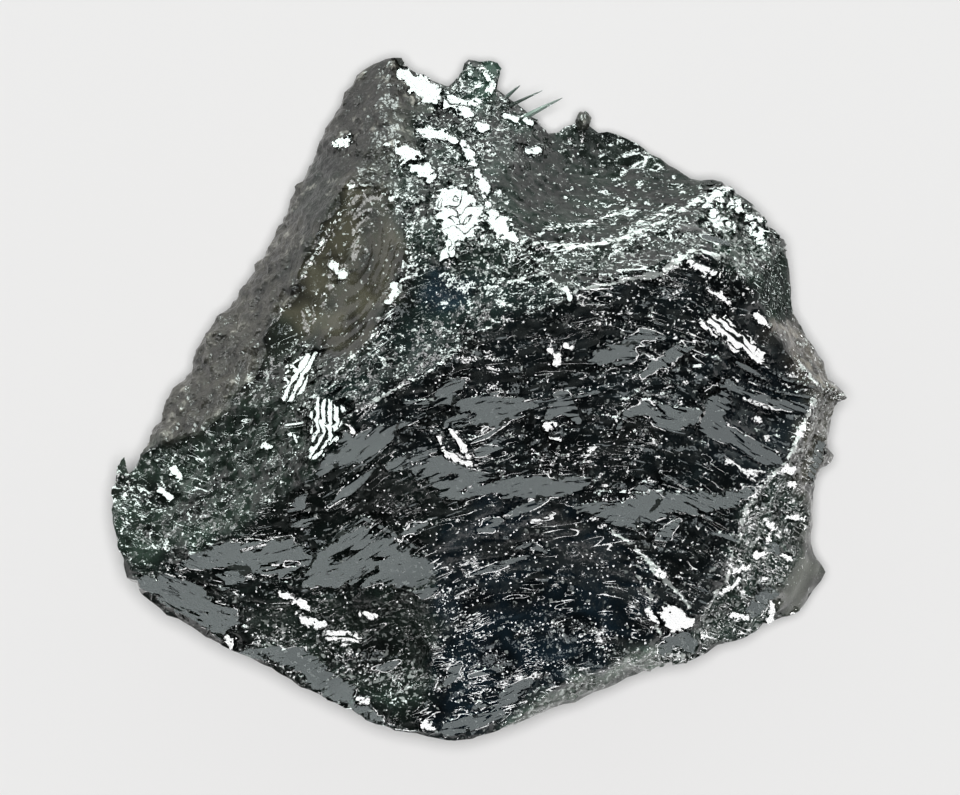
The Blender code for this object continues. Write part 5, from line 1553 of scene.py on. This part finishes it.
off_middle = node(tree, "Math", [chip, MIDDLE], operation="SUBTRACT")
crushed_most = node(tree, "Math", [at_point["crushed"], CRUSHED_MOTTLE], operation="MULTIPLY")
mottle = node(tree, "Math", [off_middle, crushed_most, at_point["mottle"]], operation="MULTIPLY_ADD")
cloud_shade = node(tree, "MapRange", [mottle, *MOTTLE_LEVELS, *CLOUD_SHADES])
cloud_colour = node(tree, "Mix", {0: 1.0, 6: tint_here, 7: cloud_shade}, 2, data_type="RGBA",
                    blend_type="MULTIPLY")
fleck_noise = node(tree, "TexNoise", {"Vector": where, "Scale": 1 / (FLECK_SIZE * MM), "Detail": 2.0,
                                      "Roughness": 0.6})
fleck_level = node(tree, "Math", [at_point["crushed"], CRUSHED_FLECKS, fleck_noise],
                   operation="MULTIPLY_ADD")
flecks = node(tree, "MapRange", [fleck_level, *FLECK_EDGE])
flecks = node(tree, "Math", [flecks, FLECK_STRENGTH], operation="MULTIPLY")
thread_level = node(tree, "Math", [at_point["bruise"], THREAD_LEVEL], operation="SUBTRACT")
thread_level = node(tree, "Math", [chip, THREAD_RAGGED, thread_level], operation="MULTIPLY_ADD")
threads = node(tree, "MapRange", [thread_level, 0.0, SPLIT_BLUR])
pale = node(tree, "Math", [flecks, threads], operation="MAXIMUM")
cloud_colour = node(tree, "Mix", {0: pale, 6: cloud_colour, 7: linear("#cccfcc")}, 2, data_type="RGBA")
cloudiness = node(tree, "Math", [pale, PALE_CLOUD, at_point["cloud"]], operation="MULTIPLY_ADD",
                  use_clamp=True)
shown = node(tree, "MapRange", [whole, 0.0, 1.0, 1.0, CLOUD_IN_FLAT])
cloudiness = node(tree, "Math", [cloudiness, shown], operation="MULTIPLY")
print(len(tree.nodes), "nodes so far")

# %% [markdown]
# Clear glass leaves the light its colour; only a cloud or the skin tints the surface itself. So the
# cloud and the skin share out the transmission, the break is polished and a little duller where it is
# cloudy, and the bottle green is left to the absorption.

# %% Put the shader together
CLEAR = "#e4efe8"
CLEAR_TO_CLOUDY = 0.15  # the cloudiness at which the cloud's own colour is whole
BREAK_ROUGHNESS = (0.04, 0.16)
SKIN_ROUGHNESS = 0.30
TOURMALINE_IOR = 1.63
BOTTLE_GREEN = "#95bfad"
ABSORPTION_PER_METRE = 2400.0  # half a millimetre takes nearly half of the green and more of the red

cloudy = node(tree, "MapRange", [cloudiness, 0.0, CLEAR_TO_CLOUDY])
broken_colour = node(tree, "Mix", {0: cloudy, 6: linear(CLEAR), 7: cloud_colour}, 2, data_type="RGBA")
base_colour = node(tree, "Mix", {0: skin_mask, 6: broken_colour, 7: skin_colour}, 2, data_type="RGBA")
opacity = node(tree, "Math", [cloudiness, skin_mask], operation="MAXIMUM")
see_through = node(tree, "Math", [1.0, opacity], operation="SUBTRACT")
dullness = node(tree, "Math", [at_point["cloud"], rough_here], operation="MULTIPLY")
roughness = node(tree, "MapRange", [dullness, 0.0, 1.0, *BREAK_ROUGHNESS])
roughness = node(tree, "Mix", {0: skin_mask, 2: roughness, 3: SKIN_ROUGHNESS})
normal = node(tree, "Mix", {0: skin_mask, 4: broken_normal, 5: skin_normal}, 1, data_type="VECTOR")
normal = node(tree, "VectorMath", [normal], operation="NORMALIZE")
surface = node(tree, "BsdfPrincipled", {
    "Base Color": base_colour, "Roughness": roughness, "Transmission Weight": see_through,
    "Normal": normal, "IOR": TOURMALINE_IOR})
volume = node(tree, "VolumeAbsorption", {"Color": linear(BOTTLE_GREEN), "Density": ABSORPTION_PER_METRE})
node(tree, "OutputMaterial", {"Surface": surface, "Volume": volume})
stone_mesh.materials.append(tourmaline)
print("material", tourmaline.name, "has", len(tree.nodes), "nodes")

# %% [markdown]
# The dressed stone moves with the body that the plain solid moves with, takes its place, and fills its
# material slot.

# %% Stand in for the plain solid
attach(stone, "root")
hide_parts("rough_stone")
print(stone.name, "takes the place of", stone_solid.name)

# %% [markdown]
# ## Floor, light and camera
#
# Dark glass shows nothing but what it mirrors, so the lights are placed by what each kind of face
# should see. A soft panel near the camera's axis is what the flat sheets mirror as even grey. A brighter
# one, low behind the stone's far end, gives the chips their white. Between them the room is dim.

# %% Floor
FLOOR_HALF = 1.5  # m

floor_mesh = bpy.data.meshes.new("floor")
floor_corners = [(x * FLOOR_HALF, y * FLOOR_HALF, 0) for x, y in ((-1, -1), (1, -1), (1, 1), (-1, 1))]
floor_mesh.from_pydata(floor_corners, [], [(0, 1, 2, 3)])
floor = bpy.data.objects.new("floor", floor_mesh)
bpy.context.scene.collection.objects.link(floor)
# Uncoated paper: it scatters the light evenly and has hardly any shine.
paper = bpy.data.materials.new("pale_matt_paper")
paper.use_nodes = True
paper_shader = paper.node_tree.nodes["Principled BSDF"]
paper_shader.inputs["Base Color"].default_value = linear("#ececec")
paper_shader.inputs["Roughness"].default_value = 0.9
paper_shader.inputs["Specular IOR Level"].default_value = 0.1
floor_mesh.materials.append(paper)
print("a floor", 2 * FLOOR_HALF, "m wide")

# %% [markdown]
# Each light stands where the flats it is meant for mirror it into the camera: up the camera's axis,
# turned over about the flat's normal. Lights are linked to the stone or to the floor alone, so that the
# stone can be lit hard while the floor stays an even pale grey.


# %% Lights
def panel(name, direction, distance, radius, radiance, lit, colour="#ffffff"):
    """A round soft light that faces the stone, with its radiance as the stone sees it. It lights one
    object alone."""
    light = bpy.data.lights.new(name, "AREA")
    light.shape = "DISK"
    light.size = 2 * radius
    light.energy = radiance * math.pi * math.pi * radius * radius
    light.color = linear(colour)[:3]
    made = bpy.data.objects.new(name, light)
    aim = Vector(direction).normalized()
    made.location = aim * distance
    made.rotation_euler = aim.to_track_quat("Z", "Y").to_euler()
    bpy.context.scene.collection.objects.link(made)
    receivers = bpy.data.collections.new("lit_by_" + name)
    receivers.objects.link(lit)
    made.light_linking.receiver_collection = receivers
    print(name, "at", [round(v, 2) for v in made.location])


def mirrored_up(normal):
    """Where a flat with this normal sends a view from straight above."""
    return 2 * normal[2] * normal - np.array([0.0, 0.0, 1.0])


panel("sheet_panel", mirrored_up(SHEET_NORMAL), 1.0, 0.20, 2.5, stone, "#f2fdff")
panel("far_end_light", mirrored_up(WHITE_NORMAL), 2.0, 0.55, 18.0, stone, "#f4fffb")
panel("side_light", mirrored_up(SIDE_NORMAL), 2.0, 0.33, 17.0, stone)
panel("skin_light", (-0.80, 0.50, 0.42), 2.0, 0.35, 6.0, stone)
panel("floor_light", (0.0, 0.0, 1.0), 2.2, 0.15, 190.0, floor, "#fffdfd")

# %% [markdown]
# The room is bright low down all round and dark overhead, because a flat that faces the camera mirrors
# what is overhead. The near side, behind whoever holds the camera, is darker.

# %% The room
world = bpy.data.worlds.new("studio")
bpy.context.scene.world = world
world.use_nodes = True
room = world.node_tree
room.nodes.clear()
towards = node(room, "TexCoord", output="Generated")
height = node(room, "SeparateXYZ", [towards], "Z")
far_side = height.node.outputs["Y"]
by_height = node(room, "MapRange", [height, 0.15, 0.60, 0.80, 0.10])
by_side = node(room, "MapRange", [far_side, -0.5, 0.2, 0.35, 1.0])
brightness = node(room, "Math", [by_height, by_side], operation="MULTIPLY")
background = node(room, "Background", {"Color": linear("#f0fcf8"), "Strength": brightness})
node(room, "OutputWorld", {"Surface": background})
print("the room has", len(room.nodes), "nodes")

# %% [markdown]
# A long lens from nearly a metre away, straight above, keeps the outline free of perspective.

# %% Camera
VIEW_WIDTH = 38.4 * MM
DISTANCE = 0.90  # m
AIM_HEIGHT = 7.0 * MM  # half of the stone's height
SENSOR = 36.0  # mm

camera = bpy.data.objects.new("camera", bpy.data.cameras.new("camera"))
bpy.context.scene.collection.objects.link(camera)
camera.data.sensor_width = SENSOR
camera.data.lens = SENSOR * DISTANCE / VIEW_WIDTH
camera.data.clip_start = 0.01
camera.location = (0.0, 0.0, AIM_HEIGHT + DISTANCE)
bpy.context.scene.camera = camera
bpy.context.scene.view_settings.view_transform = "Standard"
print("lens", round(camera.data.lens), "mm")
